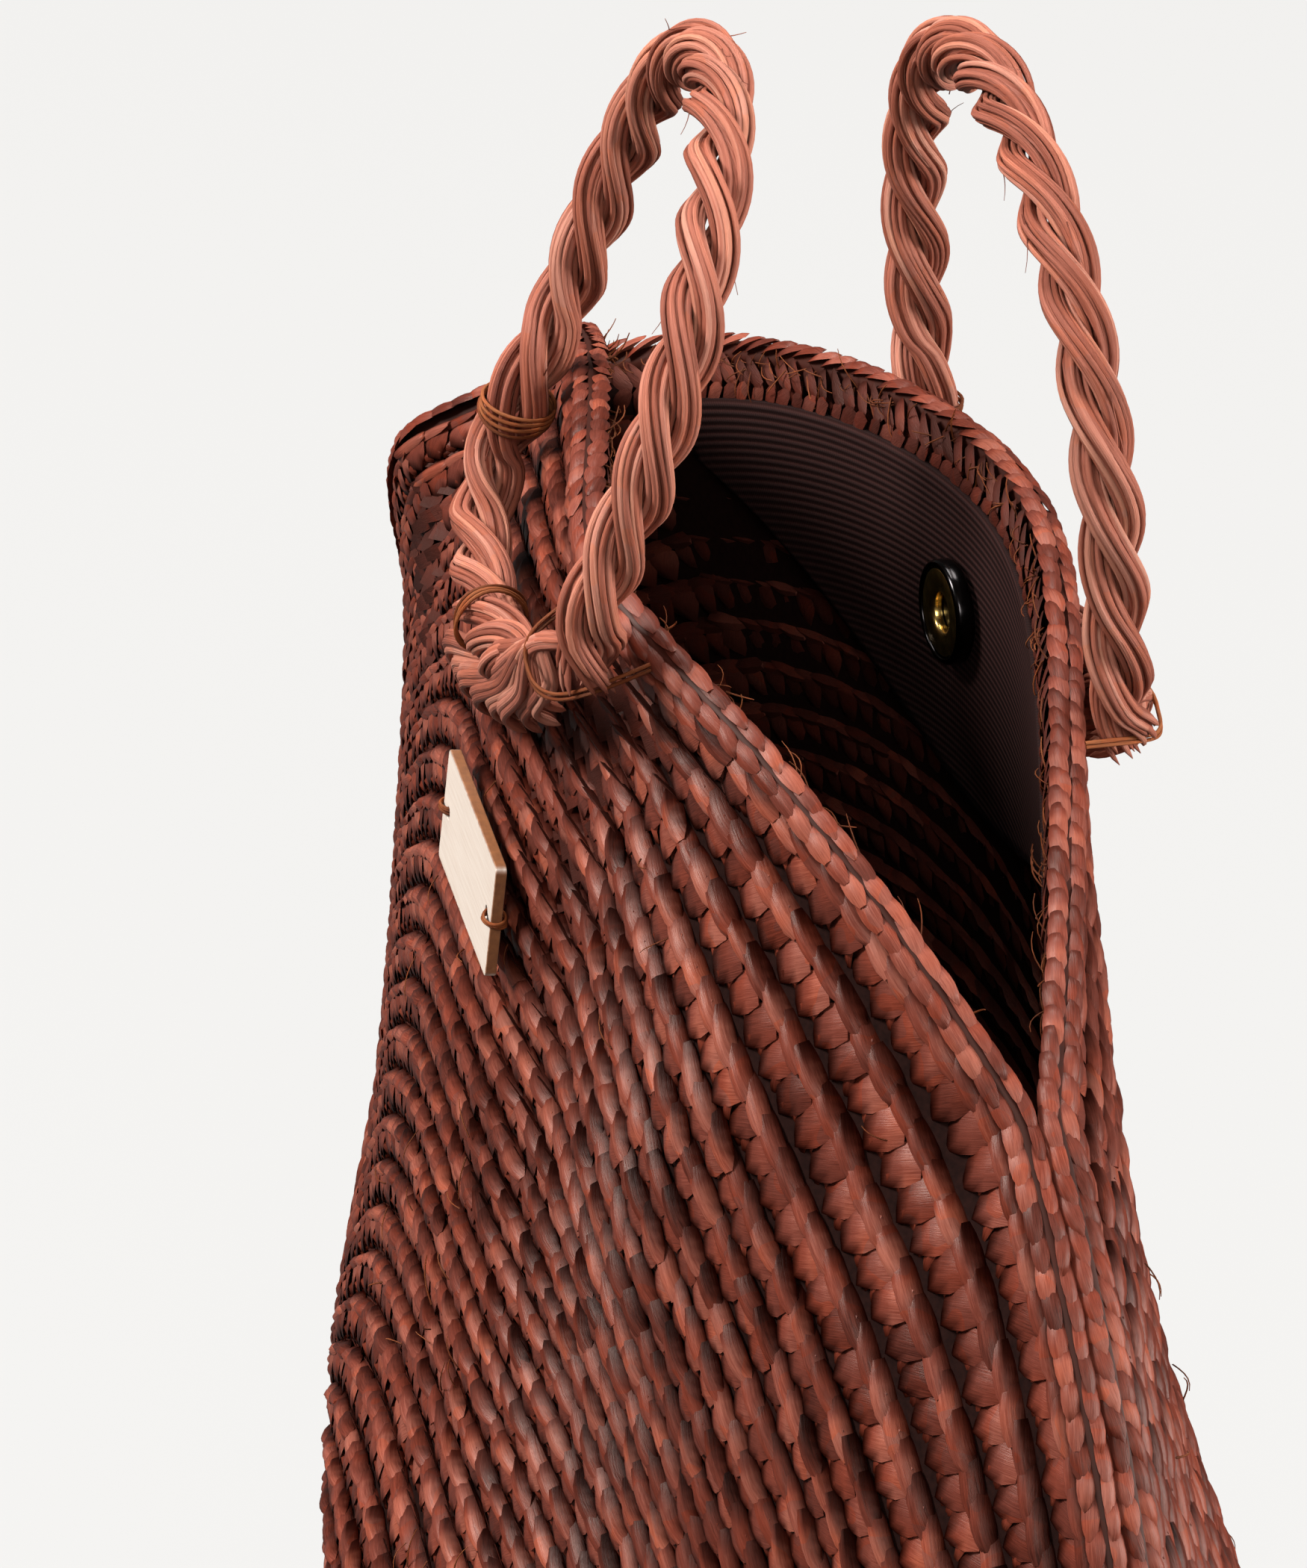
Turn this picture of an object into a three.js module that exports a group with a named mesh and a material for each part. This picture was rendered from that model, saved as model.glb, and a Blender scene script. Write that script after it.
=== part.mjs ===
// Round straw bag: two domed discs of coiled braid, sewn rim to rim and left open across the top.
// It has twisted rope handles, a cloth facing inside the mouth, a magnetic snap and a small wooden tag.
// Millimetres, +Z up, -Y to the front, +X to the near end of the mouth; the origin is the middle of the base.
// The part that takes the most skill is the three-ply rope grip, whose plies wind about each other round the arch.
import * as THREE from "three";

// Clearance between pieces that touch on the real bag
const clearance = 0.3;

// Braid discs: the rim, the wall and how the coiled braid swells
const discRadius = 200;
const wall = 4;
const frontDomeDepth = 57.5;
const frontDomePower = 1.76;
const frontPear = 0.145; // fuller below the waist, flatter towards the mouth
const frontWaist = 0; // height of the waist, as a share of the disc's radius
const frontWaistSlope = 10;
const backDomeDepth = 49.8;
const backDomePower = 2.4;
const backPear = 0.362;
const backWaist = 0.229;
const backWaistSlope = 3.05;
const baseFlat = 30; // how much of the round bottom is pressed flat by standing
const baseEase = 6; // the bend between the flat base and the sides

// Mouth: half its arc, and how far each rim stands off the seam plane
const mouthHalfAngle = 40;
const mouthFade = 2.1; // the mouth's spread dies away towards the middle of each disc
const rimBlend = 4; // below the rim the spread turns from the rim's bends to one smooth swell
const swellShare = 0.85;
const swellSpan = 1.4;
const slopeBlend = 6;
const frontOpen = 43.5;
const frontPeakAngle = 11;
const frontFarPower = 1.6;
const frontDrop = -7.5;
const frontDropSkew = 8;
const backOpen = 43.8;
const backPeakAngle = -1;
const backFarPower = 0.6;
const backDrop = 15;
const backDropSkew = -1.6;

// Far shoulder: the sewn rim bends to the front just below the mouth's far end
const shoulderReach = 16;
const shoulderSpan = 8.5;
const shoulderFade = 4.5;

// Seam cord, facing braid and facing cloth
const seamCordRadius = 1.5;
const rimBraidWidth = 7;
const rimBraidThick = 2.4;
const facingDepth = 58;
const facingEndDepth = 10;
const facingThick = 1.2;
const facingHem = 1; // strip of bare braid between the facing and the rim braid

// Magnetic snap, one half on each facing
const snapRadius = 8.5;
const snapDrop = 30; // from the rim down to its centre
const snapAngle = -6;
const snapStand = 0.8; // a flat snap bridges the hollow of the facing
const caseHeight = 3.2;
const caseWall = 1;
const caseFloor = 0.8;
const magnetHole = 3.2;
const plateHeight = 1.6;
const postRadius = 2.6;
const postHeight = 1.8;
const washerRadius = 6;
const washerThick = 0.8;

// Rope handles: three plies each, bending just above the rim
const plies = 3;
const plyRadius = 2.3;
const plyCircle = 2.95;
const layLength = 42;
const hingeRise = 6;
const neckHalf = 6.5;
const frontNearAngle = 14.8;
const frontFarAngle = -10;
const frontLean = 19.5;
const frontLeg = 23;
const frontArch = 43.5;
const backNearAngle = 16;
const backFarAngle = -17.5;
const backLean = 3;
const backLeg = 20;
const backArch = 53;

// Bight: the rope's ends laid together on the outside, as share across and drop below the rim
const bightRoute = [
  [0, 8],
  [0.04, 17],
  [0.1, 26],
  [0.18, 34],
  [0.3, 40],
  [0.46, 41],
  [0.66, 35],
  [0.83, 25],
  [0.96, 16],
  [1, 8],
];

// Thread ties round the rope, at distances along it from each neck
const tieThick = 1.2;
const tieWidth = 5;
const tieRidges = 3;
const farTieReach = 8;
const nearTieReach = 4;
const lowTieReach = 33;

// Wooden tag on the front, tied at both short sides
const tagLength = 41;
const tagHeight = 19.5;
const tagThick = 1.8;
const tagCorner = 1.2;
const tagAcross = -15;
const tagDrop = 75;
const tagHoleInset = 4;
const tagHoleRadius = 1;
const tagThreadRadius = 0.5;
const tagThreadRing = 2.5;
const tagSink = 0.7; // the disc's flat facets lie this far below its smooth form there

// Facets
const rimSteps = 72;
const discRings = [0, 0.16, 0.32, 0.47, 0.61, 0.74, 0.85, 0.94, 1];
const roundSides = 24;

// Values that follow from the ones above
const front = -1;
const back = 1;
const discHeight = discRadius - baseFlat;
const facetAngle = 360 / rimSteps;
const seamLap = wall + clearance / 2;
const ropeRadius = plyCircle + plyRadius;
const layAngle = Math.atan((2 * Math.PI * plyCircle) / layLength);
const gripFoot = neckHalf + 2 * clearance + plyRadius * Math.sin(layAngle); // slanted ply ends clear the necks
const ropeStandoff = ropeRadius + tieThick + 2 * clearance;
const washerStart = wall + 2 * clearance;
const facingStart = washerStart + washerThick + clearance;
const domes = {
  [front]: {
    depth: frontDomeDepth,
    power: frontDomePower,
    pear: frontPear,
    waist: frontWaist,
    slope: frontWaistSlope,
  },
  [back]: {
    depth: backDomeDepth,
    power: backDomePower,
    pear: backPear,
    waist: backWaist,
    slope: backWaistSlope,
  },
};
const mouths = {
  [front]: {
    open: frontOpen,
    peak: frontPeakAngle / mouthHalfAngle,
    power: frontFarPower,
    drop: frontDrop,
    skew: frontDropSkew,
  },
  [back]: {
    open: backOpen,
    peak: backPeakAngle / mouthHalfAngle,
    power: backFarPower,
    drop: backDrop,
    skew: backDropSkew,
  },
};

// Finishes
const straw = { color: 0x6e4137, roughness: 0.6, metalness: 0 };
const rope = { color: 0xbe6e5a, roughness: 0.7, metalness: 0 };
const thread = { color: 0x965a28, roughness: 0.8, metalness: 0 };
const cloth = { color: 0x231919, roughness: 0.95, metalness: 0 };
const brass = { color: 0xb08a4a, roughness: 0.3, metalness: 1 };
const darkMetal = { color: 0x1c1a1c, roughness: 0.25, metalness: 1 };
const wood = { color: 0xebded4, roughness: 0.7, metalness: 0 };

const bag = new THREE.Group();

function place(name, geometry, finish, parent = bag) {
  const mesh = new THREE.Mesh(geometry, new THREE.MeshStandardMaterial(finish));
  mesh.name = name;
  parent.add(mesh);
  return mesh;
}

function sideName(side) {
  return side === front ? "front" : "back";
}

function smoothStep(from, to, value) {
  return THREE.MathUtils.smoothstep(value, from, to);
}

// How far a rim stands off the seam plane: a straight slope from the near end and a curve from the far end,
// blended where they meet at the peak. The place runs from -1 at the far end to 1 at the near end.
function mouthOpening(mouth, place) {
  const near = Math.max((1 - place) / (1 - mouth.peak), 1e-6);
  const far = Math.max((1 + place) / (1 + mouth.peak), 1e-6) ** mouth.power;
  return mouth.open * (near ** -slopeBlend + far ** -slopeBlend) ** (-1 / slopeBlend);
}

function shoulderAt(angle) {
  const past = -angle - mouthHalfAngle;
  const rise = smoothStep(0, shoulderSpan, past);
  return shoulderReach * rise * (1 - smoothStep(shoulderSpan, 4 * shoulderSpan, past));
}

// How far a disc swells: full in the middle, nothing at the rim and more below its waist than above it
function domeSwell(dome, share, height) {
  const pear = 1 - dome.pear * Math.tanh(dome.slope * (height - dome.waist));
  return dome.depth * (1 - share ** dome.power) * pear;
}

// Outer face of a disc before its shoulder is bent: u across and w up from the centre of the flat coil
function outerPoint(side, u, w) {
  const mouth = mouths[side];
  const share = Math.hypot(u, w) / discRadius;
  const angle = THREE.MathUtils.radToDeg(Math.atan2(u, w));
  const place = THREE.MathUtils.clamp(angle / mouthHalfAngle, -1, 1);
  const fade = share ** mouthFade;
  const swell = domeSwell(domes[side], share, w / discRadius);
  const sweep = THREE.MathUtils.clamp(angle / (swellSpan * mouthHalfAngle), -1, 1);
  const smooth = swellShare * mouth.open * (0.5 + 0.5 * Math.cos(Math.PI * sweep));
  const spread = THREE.MathUtils.lerp(smooth, mouthOpening(mouth, place), share ** rimBlend);
  const y = side * (seamLap + swell + spread * fade);
  const sag = (1 - place * place) * (mouth.drop - mouth.skew * place) * fade;
  return new THREE.Vector3(u, y, discHeight + w - sag);
}

function inwardNormal(side, u, w) {
  const step = 0.5;
  const along = outerPoint(side, u + step, w).sub(outerPoint(side, u - step, w));
  const up = outerPoint(side, u, w + step).sub(outerPoint(side, u, w - step));
  return along.cross(up).multiplyScalar(side).normalize();
}

// Height above the floor once the round bottom is pressed flat, eased into the sides
function pressedHeight(height) {
  if (height > baseEase) return height;
  return Math.max(height + baseEase, 0) ** 2 / (4 * baseEase);
}

// A point inside the wall, or outside it for a negative depth, pressed flat where the bag stands
function wallPoint(side, u, w, depth) {
  const point = outerPoint(side, u, w).addScaledVector(inwardNormal(side, u, w), depth);
  const angle = THREE.MathUtils.radToDeg(Math.atan2(u, w));
  point.y -= shoulderAt(angle) * (Math.hypot(u, w) / discRadius) ** shoulderFade;
  point.z = depth + pressedHeight(point.z - depth);
  return point;
}

function discPlace(angle, drop) {
  const a = THREE.MathUtils.degToRad(angle);
  const radius = discRadius - drop;
  return [radius * Math.sin(a), radius * Math.cos(a)];
}

function rimPoint(side, angle, drop, depth) {
  return wallPoint(side, ...discPlace(angle, drop), depth);
}

function moveVertices(geometry, move) {
  const position = geometry.getAttribute("position");
  const vertex = new THREE.Vector3();
  for (let i = 0; i < position.count; i++) {
    vertex.fromBufferAttribute(position, i);
    const moved = move(vertex);
    position.setXYZ(i, moved.x, moved.y, moved.z);
  }
  return geometry;
}

// Braid disc: a flat round plate, turned on the lathe and then pressed into its domed shape
function braidDisc(side) {
  const profile = [];
  for (const ring of discRings) profile.push(new THREE.Vector2(ring * discRadius, 0));
  for (const ring of [...discRings].reverse()) profile.push(new THREE.Vector2(ring * discRadius, wall));
  const plate = new THREE.LatheGeometry(profile, rimSteps);
  return moveVertices(plate, (v) => wallPoint(side, -side * v.x, v.z, v.y));
}

// Last facet of the disc, from the mouth's peak to one end, where it is still open by a given amount
function closingAngle(side, opening, end) {
  const mouth = mouths[side];
  const step = end * facetAngle;
  let angle = facetAngle * Math.round((mouth.peak * mouthHalfAngle) / facetAngle);
  while (Math.abs(angle + step) < mouthHalfAngle) {
    if (mouthOpening(mouth, (angle + step) / mouthHalfAngle) < opening) break;
    angle += step;
  }
  return angle;
}

// Strip on the inside of a disc between two drops below the rim, over a depth range
function insideStrip(side, angles, drops, depths, cells) {
  const facets = Math.round((angles[1] - angles[0]) / facetAngle);
  const box = new THREE.BoxGeometry(1, 1, 1, facets, 1, cells);
  return moveVertices(box, (v) => {
    const across = 0.5 - side * v.x;
    const angle = THREE.MathUtils.lerp(angles[0], angles[1], across);
    const [low, high] = drops(across);
    const depth = THREE.MathUtils.lerp(depths[0], depths[1], v.y + 0.5);
    return rimPoint(side, angle, THREE.MathUtils.lerp(low, high, v.z + 0.5), depth);
  });
}

function buildMouthLining(side) {
  const name = sideName(side);
  const braidTop = wall + clearance + rimBraidThick;
  const braidRoom = braidTop + clearance;
  const braidAngles = [closingAngle(side, braidRoom, -1), closingAngle(side, braidRoom, 1)];
  const braidDepths = [wall + clearance, braidTop];
  const braid = insideStrip(side, braidAngles, () => [rimBraidWidth, 0], braidDepths, 1);
  place(name + "_rim_braid", braid, straw);

  const clothRoom = 2 * braidRoom;
  const clothAngles = [closingAngle(side, clothRoom, -1), closingAngle(side, clothRoom, 1)];
  const clothTop = rimBraidWidth + facingHem;
  const crescent = (across) => {
    const depth = facingEndDepth + (facingDepth - facingEndDepth) * Math.sin(Math.PI * across);
    return [clothTop + depth, clothTop];
  };
  const clothDepths = [facingStart, facingStart + facingThick];
  place(name + "_facing_cloth", insideStrip(side, clothAngles, crescent, clothDepths, 5), cloth);
}

// Frame on the inside of a disc with its own Z pointing into the bag
function insideSeat(side, angle, drop, depth) {
  const seat = new THREE.Group();
  const [u, w] = discPlace(angle, drop);
  seat.position.copy(wallPoint(side, u, w, depth));
  seat.quaternion.setFromUnitVectors(new THREE.Vector3(0, 0, 1), inwardNormal(side, u, w));
  bag.add(seat);
  return seat;
}

// Lathe piece that stands on the local XY plane, from a profile of radius and height
function turned(points, sides = roundSides) {
  const profile = points.map(([radius, height]) => new THREE.Vector2(radius, height));
  return new THREE.LatheGeometry(profile, sides).rotateX(Math.PI / 2);
}

function puck(radius, low, high) {
  return turned([
    [0, low],
    [radius, low],
    [radius, high],
    [0, high],
  ]);
}

function buildSnap(side) {
  const name = sideName(side) + "_snap";
  const behind = insideSeat(side, snapAngle, snapDrop, washerStart);
  place(name + "_washer", puck(washerRadius, 0, washerThick), darkMetal, behind);
  const seat = insideSeat(side, snapAngle, snapDrop, facingStart + facingThick + snapStand);
  if (side === front) {
    place(name + "_plate", puck(snapRadius, 0, plateHeight), darkMetal, seat);
    const postFoot = plateHeight + clearance;
    place(name + "_post", puck(postRadius, postFoot, postFoot + postHeight), brass, seat);
    return;
  }
  const inside = snapRadius - caseWall;
  const shell = [
    [0, 0],
    [snapRadius, 0],
    [snapRadius, caseHeight],
    [inside, caseHeight],
    [inside, caseFloor],
    [0, caseFloor],
  ];
  place(name + "_case", turned(shell), darkMetal, seat);
  const magnetRadius = inside - clearance;
  const magnetFoot = caseFloor + clearance;
  const ring = [
    [magnetHole, magnetFoot],
    [magnetRadius, magnetFoot],
    [magnetRadius, caseHeight],
    [magnetHole, caseHeight],
    [magnetHole, magnetFoot],
  ];
  place(name + "_magnet", turned(ring), brass, seat);
}

// Tube of a given section along a curve
function tube(curve, radius, steps, sides) {
  const section = new THREE.Shape();
  for (let i = 0; i < sides; i++) {
    const a = (2 * Math.PI * i) / sides;
    section.lineTo(radius * Math.cos(a), radius * Math.sin(a));
    if (i === 0) section.currentPoint.set(radius, 0);
  }
  return new THREE.ExtrudeGeometry(section, { steps, extrudePath: curve, bevelEnabled: false });
}

// Arched loop of a handle in its own leaning plane: two straight legs and a half-oval arch
class GripCurve extends THREE.Curve {
  constructor(near, far, side, shape) {
    super();
    this.legTop = shape.leg;
    this.rise = shape.arch;
    this.middle = near.clone().add(far).multiplyScalar(0.5);
    this.half = near.distanceTo(far) / 2;
    this.along = near.clone().sub(far).normalize();
    const a = THREE.MathUtils.degToRad(shape.lean);
    this.up = new THREE.Vector3(0, -side * Math.sin(a), Math.cos(a));
    this.up.addScaledVector(this.along, -this.up.dot(this.along)).normalize();
    this.normal = this.along.clone().cross(this.up);
    this.leg = shape.leg - gripFoot;
    this.arch = (Math.PI * (this.half + shape.arch)) / 2;
  }

  length() {
    return 2 * this.leg + this.arch;
  }

  // Place in the loop's plane, across and up, at a distance from the near foot
  flat(distance) {
    if (distance < this.leg) return [this.half, gripFoot + distance];
    const past = distance - this.leg;
    if (past > this.arch) return [-this.half, this.legTop - (past - this.arch)];
    const turn = (Math.PI * past) / this.arch;
    return [this.half * Math.cos(turn), this.legTop + this.rise * Math.sin(turn)];
  }

  at(across, up) {
    return this.middle.clone().addScaledVector(this.along, across).addScaledVector(this.up, up);
  }

  getPoint(t) {
    return this.at(...this.flat(t * this.length()));
  }
}

// One ply: a helix wound about the grip's loop
class PlyCurve extends THREE.Curve {
  constructor(grip, start) {
    super();
    this.grip = grip;
    this.start = start;
  }

  getPoint(t) {
    const reach = 0.5;
    const distance = t * this.grip.length();
    const [x, z] = this.grip.flat(distance);
    const [x0, z0] = this.grip.flat(distance - reach);
    const [x1, z1] = this.grip.flat(distance + reach);
    const run = Math.hypot(x1 - x0, z1 - z0);
    const outAcross = (z1 - z0) / run;
    const outUp = -(x1 - x0) / run;
    const turn = this.start + (2 * Math.PI * distance) / layLength;
    const out = plyCircle * Math.cos(turn);
    const point = this.grip.at(x + out * outAcross, z + out * outUp);
    return point.addScaledVector(this.grip.normal, plyCircle * Math.sin(turn));
  }
}

// Band of thread round a rope: ridged outside, round inside
function tieBand() {
  const inner = ropeRadius + clearance;
  const profile = [new THREE.Vector2(inner, -tieWidth / 2)];
  const pitch = tieWidth / tieRidges;
  for (let i = 0; i < tieRidges; i++) {
    const low = -tieWidth / 2 + i * pitch;
    profile.push(new THREE.Vector2(inner + tieThick / 2, low));
    profile.push(new THREE.Vector2(inner + tieThick, low + pitch / 2));
  }
  profile.push(new THREE.Vector2(inner + tieThick / 2, tieWidth / 2));
  profile.push(new THREE.Vector2(inner, tieWidth / 2));
  profile.push(profile[0].clone());
  return new THREE.LatheGeometry(profile, 12);
}

function placeTie(name, curve, distance) {
  const along = distance / curve.getLength();
  const band = place(name, tieBand(), thread);
  band.position.copy(curve.getPointAt(along));
  band.quaternion.setFromUnitVectors(new THREE.Vector3(0, 1, 0), curve.getTangentAt(along));
}

function buildHandle(side, shape) {
  const name = sideName(side) + "_handle";
  const near = rimPoint(side, shape.near, -hingeRise, -ropeStandoff);
  const far = rimPoint(side, shape.far, -hingeRise, -ropeStandoff);
  const grip = new GripCurve(near, far, side, shape);
  const turnSteps = 8;
  const steps = Math.round((turnSteps * grip.length()) / layLength);
  for (let i = 0; i < plies; i++) {
    const ply = new PlyCurve(grip, (2 * Math.PI * i) / plies);
    place(name + "_ply_" + (i + 1), tube(ply, plyRadius, steps, 6), rope);
  }

  // Necks bend above the rim, from the top of each tail to the foot of each leg
  const tailTop = neckHalf - hingeRise;
  const legs = { near: [near, shape.near, grip.half], far: [far, shape.far, -grip.half] };
  for (const [end, [hinge, angle, across]] of Object.entries(legs)) {
    const path = new THREE.CatmullRomCurve3([
      rimPoint(side, angle, tailTop, -ropeStandoff),
      hinge,
      grip.at(across, neckHalf),
    ]);
    place(name + "_" + end + "_neck", tube(path, ropeRadius, 6, 12), rope);
  }

  const stops = [[0, tailTop + clearance], ...bightRoute, [1, tailTop + clearance]];
  const route = stops.map(([share, drop]) =>
    rimPoint(side, THREE.MathUtils.lerp(shape.far, shape.near, share), drop, -ropeStandoff),
  );
  const bight = new THREE.CatmullRomCurve3(route, false, "centripetal");
  place(name + "_bight", tube(bight, ropeRadius - 2 * clearance, 28, 10), rope);
  placeTie(name + "_far_tie", bight, farTieReach);
  placeTie(name + "_low_tie", bight, lowTieReach);
  placeTie(name + "_near_tie", bight, bight.getLength() - nearTieReach);
}

function buildSeam() {
  const points = [];
  const first = facetAngle * Math.ceil((mouthHalfAngle + 1) / facetAngle);
  for (let angle = first; angle <= 360 - first; angle += facetAngle) {
    const [u, w] = discPlace(angle, -clearance);
    const signed = angle > 180 ? angle - 360 : angle;
    const height = Math.max(discHeight + w, seamCordRadius + clearance);
    points.push(new THREE.Vector3(u, -shoulderAt(signed), height));
  }
  const path = new THREE.CatmullRomCurve3(points, false, "centripetal");
  place("seam_cord", tube(path, seamCordRadius, Math.round(1.4 * points.length), 6), straw);
}

function buildTag() {
  const [u, w] = [tagAcross, discRadius - tagDrop];
  const outward = inwardNormal(front, u, w).negate();
  const seat = new THREE.Group();
  const under = tagThreadRing + tagThreadRadius - tagThick / 2 + clearance - tagSink;
  seat.position.copy(wallPoint(front, u, w, -under));
  const across = new THREE.Vector3(1, 0, 0);
  across.addScaledVector(outward, -across.dot(outward)).normalize();
  seat.quaternion.setFromRotationMatrix(
    new THREE.Matrix4().makeBasis(across, outward.clone().cross(across), outward),
  );
  bag.add(seat);

  const x = tagLength / 2;
  const y = tagHeight / 2;
  const outline = new THREE.Shape();
  outline.moveTo(-x + tagCorner, -y);
  outline.lineTo(x - tagCorner, -y);
  outline.quadraticCurveTo(x, -y, x, -y + tagCorner);
  outline.lineTo(x, y - tagCorner);
  outline.quadraticCurveTo(x, y, x - tagCorner, y);
  outline.lineTo(-x + tagCorner, y);
  outline.quadraticCurveTo(-x, y, -x, y - tagCorner);
  outline.lineTo(-x, -y + tagCorner);
  outline.quadraticCurveTo(-x, -y, -x + tagCorner, -y);
  const hole = x - tagHoleInset;
  for (const end of [-1, 1]) {
    outline.holes.push(new THREE.Path().absarc(end * hole, 0, tagHoleRadius, 0, 2 * Math.PI, true));
  }
  const board = { depth: tagThick, bevelEnabled: false, curveSegments: 6 };
  place("tag", new THREE.ExtrudeGeometry(outline, board), wood, seat);
  for (const [label, end] of [["far", -1], ["near", 1]]) {
    const ring = new THREE.TorusGeometry(tagThreadRing, tagThreadRadius, 6, 20).rotateX(Math.PI / 2);
    ring.translate(end * (hole + tagThreadRing), 0, tagThick / 2);
    place("tag_" + label + "_thread", ring, thread, seat);
  }
}

for (const side of [front, back]) {
  place(sideName(side) + "_panel", braidDisc(side), straw);
  buildMouthLining(side);
  buildSnap(side);
}
buildHandle(front, {
  near: frontNearAngle,
  far: frontFarAngle,
  lean: frontLean,
  leg: frontLeg,
  arch: frontArch,
});
buildHandle(back, {
  near: backNearAngle,
  far: backFarAngle,
  lean: backLean,
  leg: backLeg,
  arch: backArch,
});
buildSeam();
buildTag();

export default bag;
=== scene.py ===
import math
import random

import bmesh
import bpy
import numpy as np
from mathutils import Matrix, Vector


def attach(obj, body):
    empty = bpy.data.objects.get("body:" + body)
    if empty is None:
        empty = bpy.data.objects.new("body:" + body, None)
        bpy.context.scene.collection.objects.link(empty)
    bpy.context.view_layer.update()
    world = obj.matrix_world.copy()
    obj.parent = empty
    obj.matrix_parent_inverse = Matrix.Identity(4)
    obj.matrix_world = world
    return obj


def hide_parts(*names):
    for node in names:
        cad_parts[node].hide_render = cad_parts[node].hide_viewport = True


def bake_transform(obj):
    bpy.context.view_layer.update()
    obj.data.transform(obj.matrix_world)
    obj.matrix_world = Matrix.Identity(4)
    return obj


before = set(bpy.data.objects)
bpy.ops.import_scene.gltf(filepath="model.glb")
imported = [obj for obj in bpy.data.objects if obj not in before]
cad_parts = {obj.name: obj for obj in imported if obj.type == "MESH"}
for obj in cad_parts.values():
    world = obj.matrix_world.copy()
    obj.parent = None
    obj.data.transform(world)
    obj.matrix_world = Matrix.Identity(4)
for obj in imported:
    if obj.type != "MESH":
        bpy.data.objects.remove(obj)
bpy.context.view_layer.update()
print("frame loaded:", len(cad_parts), "nodes")

mm = 0.001
front, back = -1, 1
sideNames = {front: "front", back: "back"}

# bag form: the two pressed discs, in metres and degrees
bag = {
    "discRadius": 0.2,
    "wall": 0.004,
    "clearance": 0.0003,
    "baseFlat": 0.03,
    "baseEase": 0.006,
    "mouthHalfAngle": 40,
    "mouthFade": 2.1,
    "rimBlend": 4,
    "swellShare": 0.85,
    "swellSpan": 1.4,
    "slopeBlend": 6,
    "shoulderReach": 0.016,
    "shoulderSpan": 8.5,
    "shoulderFade": 4.5,
    "plainStep": 0.0005,  # how far apart points are taken for a normal
    "wallStep": 0.0008,
    front: {
        "open": 0.0435, "peak": 11, "power": 1.6, "drop": -0.0075, "skew": 0.008,
        "dome": 0.0575, "domePower": 1.76, "pear": 0.145, "waist": 0, "waistSlope": 10,
    },
    back: {
        "open": 0.0438, "peak": -1, "power": 0.6, "drop": 0.015, "skew": -0.0016,
        "dome": 0.0498, "domePower": 2.4, "pear": 0.362, "waist": 0.229, "waistSlope": 3.05,
    },
}


def smoothStep(low, high, value):
    t = np.clip((value - low) / (high - low), 0, 1)
    return t * t * (3 - 2 * t)


def hump(rise, top, fall, end, value):
    return smoothStep(rise, top, value) * (1 - smoothStep(fall, end, value))


def unit(vectors):
    return vectors / np.maximum(np.linalg.norm(vectors, axis=-1, keepdims=True), 1e-9)


def runLength(points):
    return np.concatenate([[0], np.cumsum(np.linalg.norm(np.diff(points, axis=0), axis=1))])


def mouthOpening(side, place):
    mouth, k = bag[side], bag["slopeBlend"]
    peak = mouth["peak"] / bag["mouthHalfAngle"]
    near = np.maximum((1 - place) / (1 - peak), 1e-6)
    far = np.maximum((1 + place) / (1 + peak), 1e-6) ** mouth["power"]
    return mouth["open"] * (near ** -k + far ** -k) ** (-1 / k)


def outerPoint(side, u, w):  # outer face of a disc before its shoulder is bent
    mouth = bag[side]
    share = np.hypot(u, w) / bag["discRadius"]
    angle = np.degrees(np.arctan2(u, w))
    place = np.clip(angle / bag["mouthHalfAngle"], -1, 1)
    fade = share ** bag["mouthFade"]
    pear = 1 - mouth["pear"] * np.tanh(mouth["waistSlope"] * (w / bag["discRadius"] - mouth["waist"]))
    swell = mouth["dome"] * (1 - share ** mouth["domePower"]) * pear
    sweep = np.clip(angle / (bag["swellSpan"] * bag["mouthHalfAngle"]), -1, 1)
    smooth = bag["swellShare"] * mouth["open"] * (0.5 + 0.5 * np.cos(np.pi * sweep))
    spread = smooth + (mouthOpening(side, place) - smooth) * share ** bag["rimBlend"]
    lap = bag["wall"] + bag["clearance"] / 2
    sag = (1 - place * place) * (mouth["drop"] - mouth["skew"] * place) * fade
    height = bag["discRadius"] - bag["baseFlat"] + w - sag
    return np.stack([u, side * (lap + swell + spread * fade), height], -1)


def faceNormal(point, side, u, w, step):  # points into the bag
    along = point(side, u + step, w) - point(side, u - step, w)
    up = point(side, u, w + step) - point(side, u, w - step)
    return unit(np.cross(along, up) * side)


def inwardNormal(side, u, w):
    return faceNormal(outerPoint, side, u, w, bag["plainStep"])


def wallPoint(side, u, w, depth=0.0):  # depth runs into the bag, and is negative outside the wall
    u, w, depth = (np.asarray(value, float) for value in (u, w, depth))
    point = outerPoint(side, u, w) + inwardNormal(side, u, w) * depth[..., None]
    past = -np.degrees(np.arctan2(u, w)) - bag["mouthHalfAngle"]
    span = bag["shoulderSpan"]
    bend = hump(0, span, span, 4 * span, past)
    share = np.hypot(u, w) / bag["discRadius"]
    point[..., 1] -= bag["shoulderReach"] * bend * share ** bag["shoulderFade"]
    ease, height = bag["baseEase"], point[..., 2] - depth
    pressed = np.maximum(height + ease, 0) ** 2 / (4 * ease)
    point[..., 2] = depth + np.where(height > ease, height, pressed)
    return point


def wallNormal(side, u, w):  # into the bag from the finished wall, shoulder and base included
    return faceNormal(wallPoint, side, u, w, bag["wallStep"])


def discPlace(angle, drop):
    a = np.radians(np.asarray(angle, float))
    radius = bag["discRadius"] - np.asarray(drop, float)
    return radius * np.sin(a), radius * np.cos(a)


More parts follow.
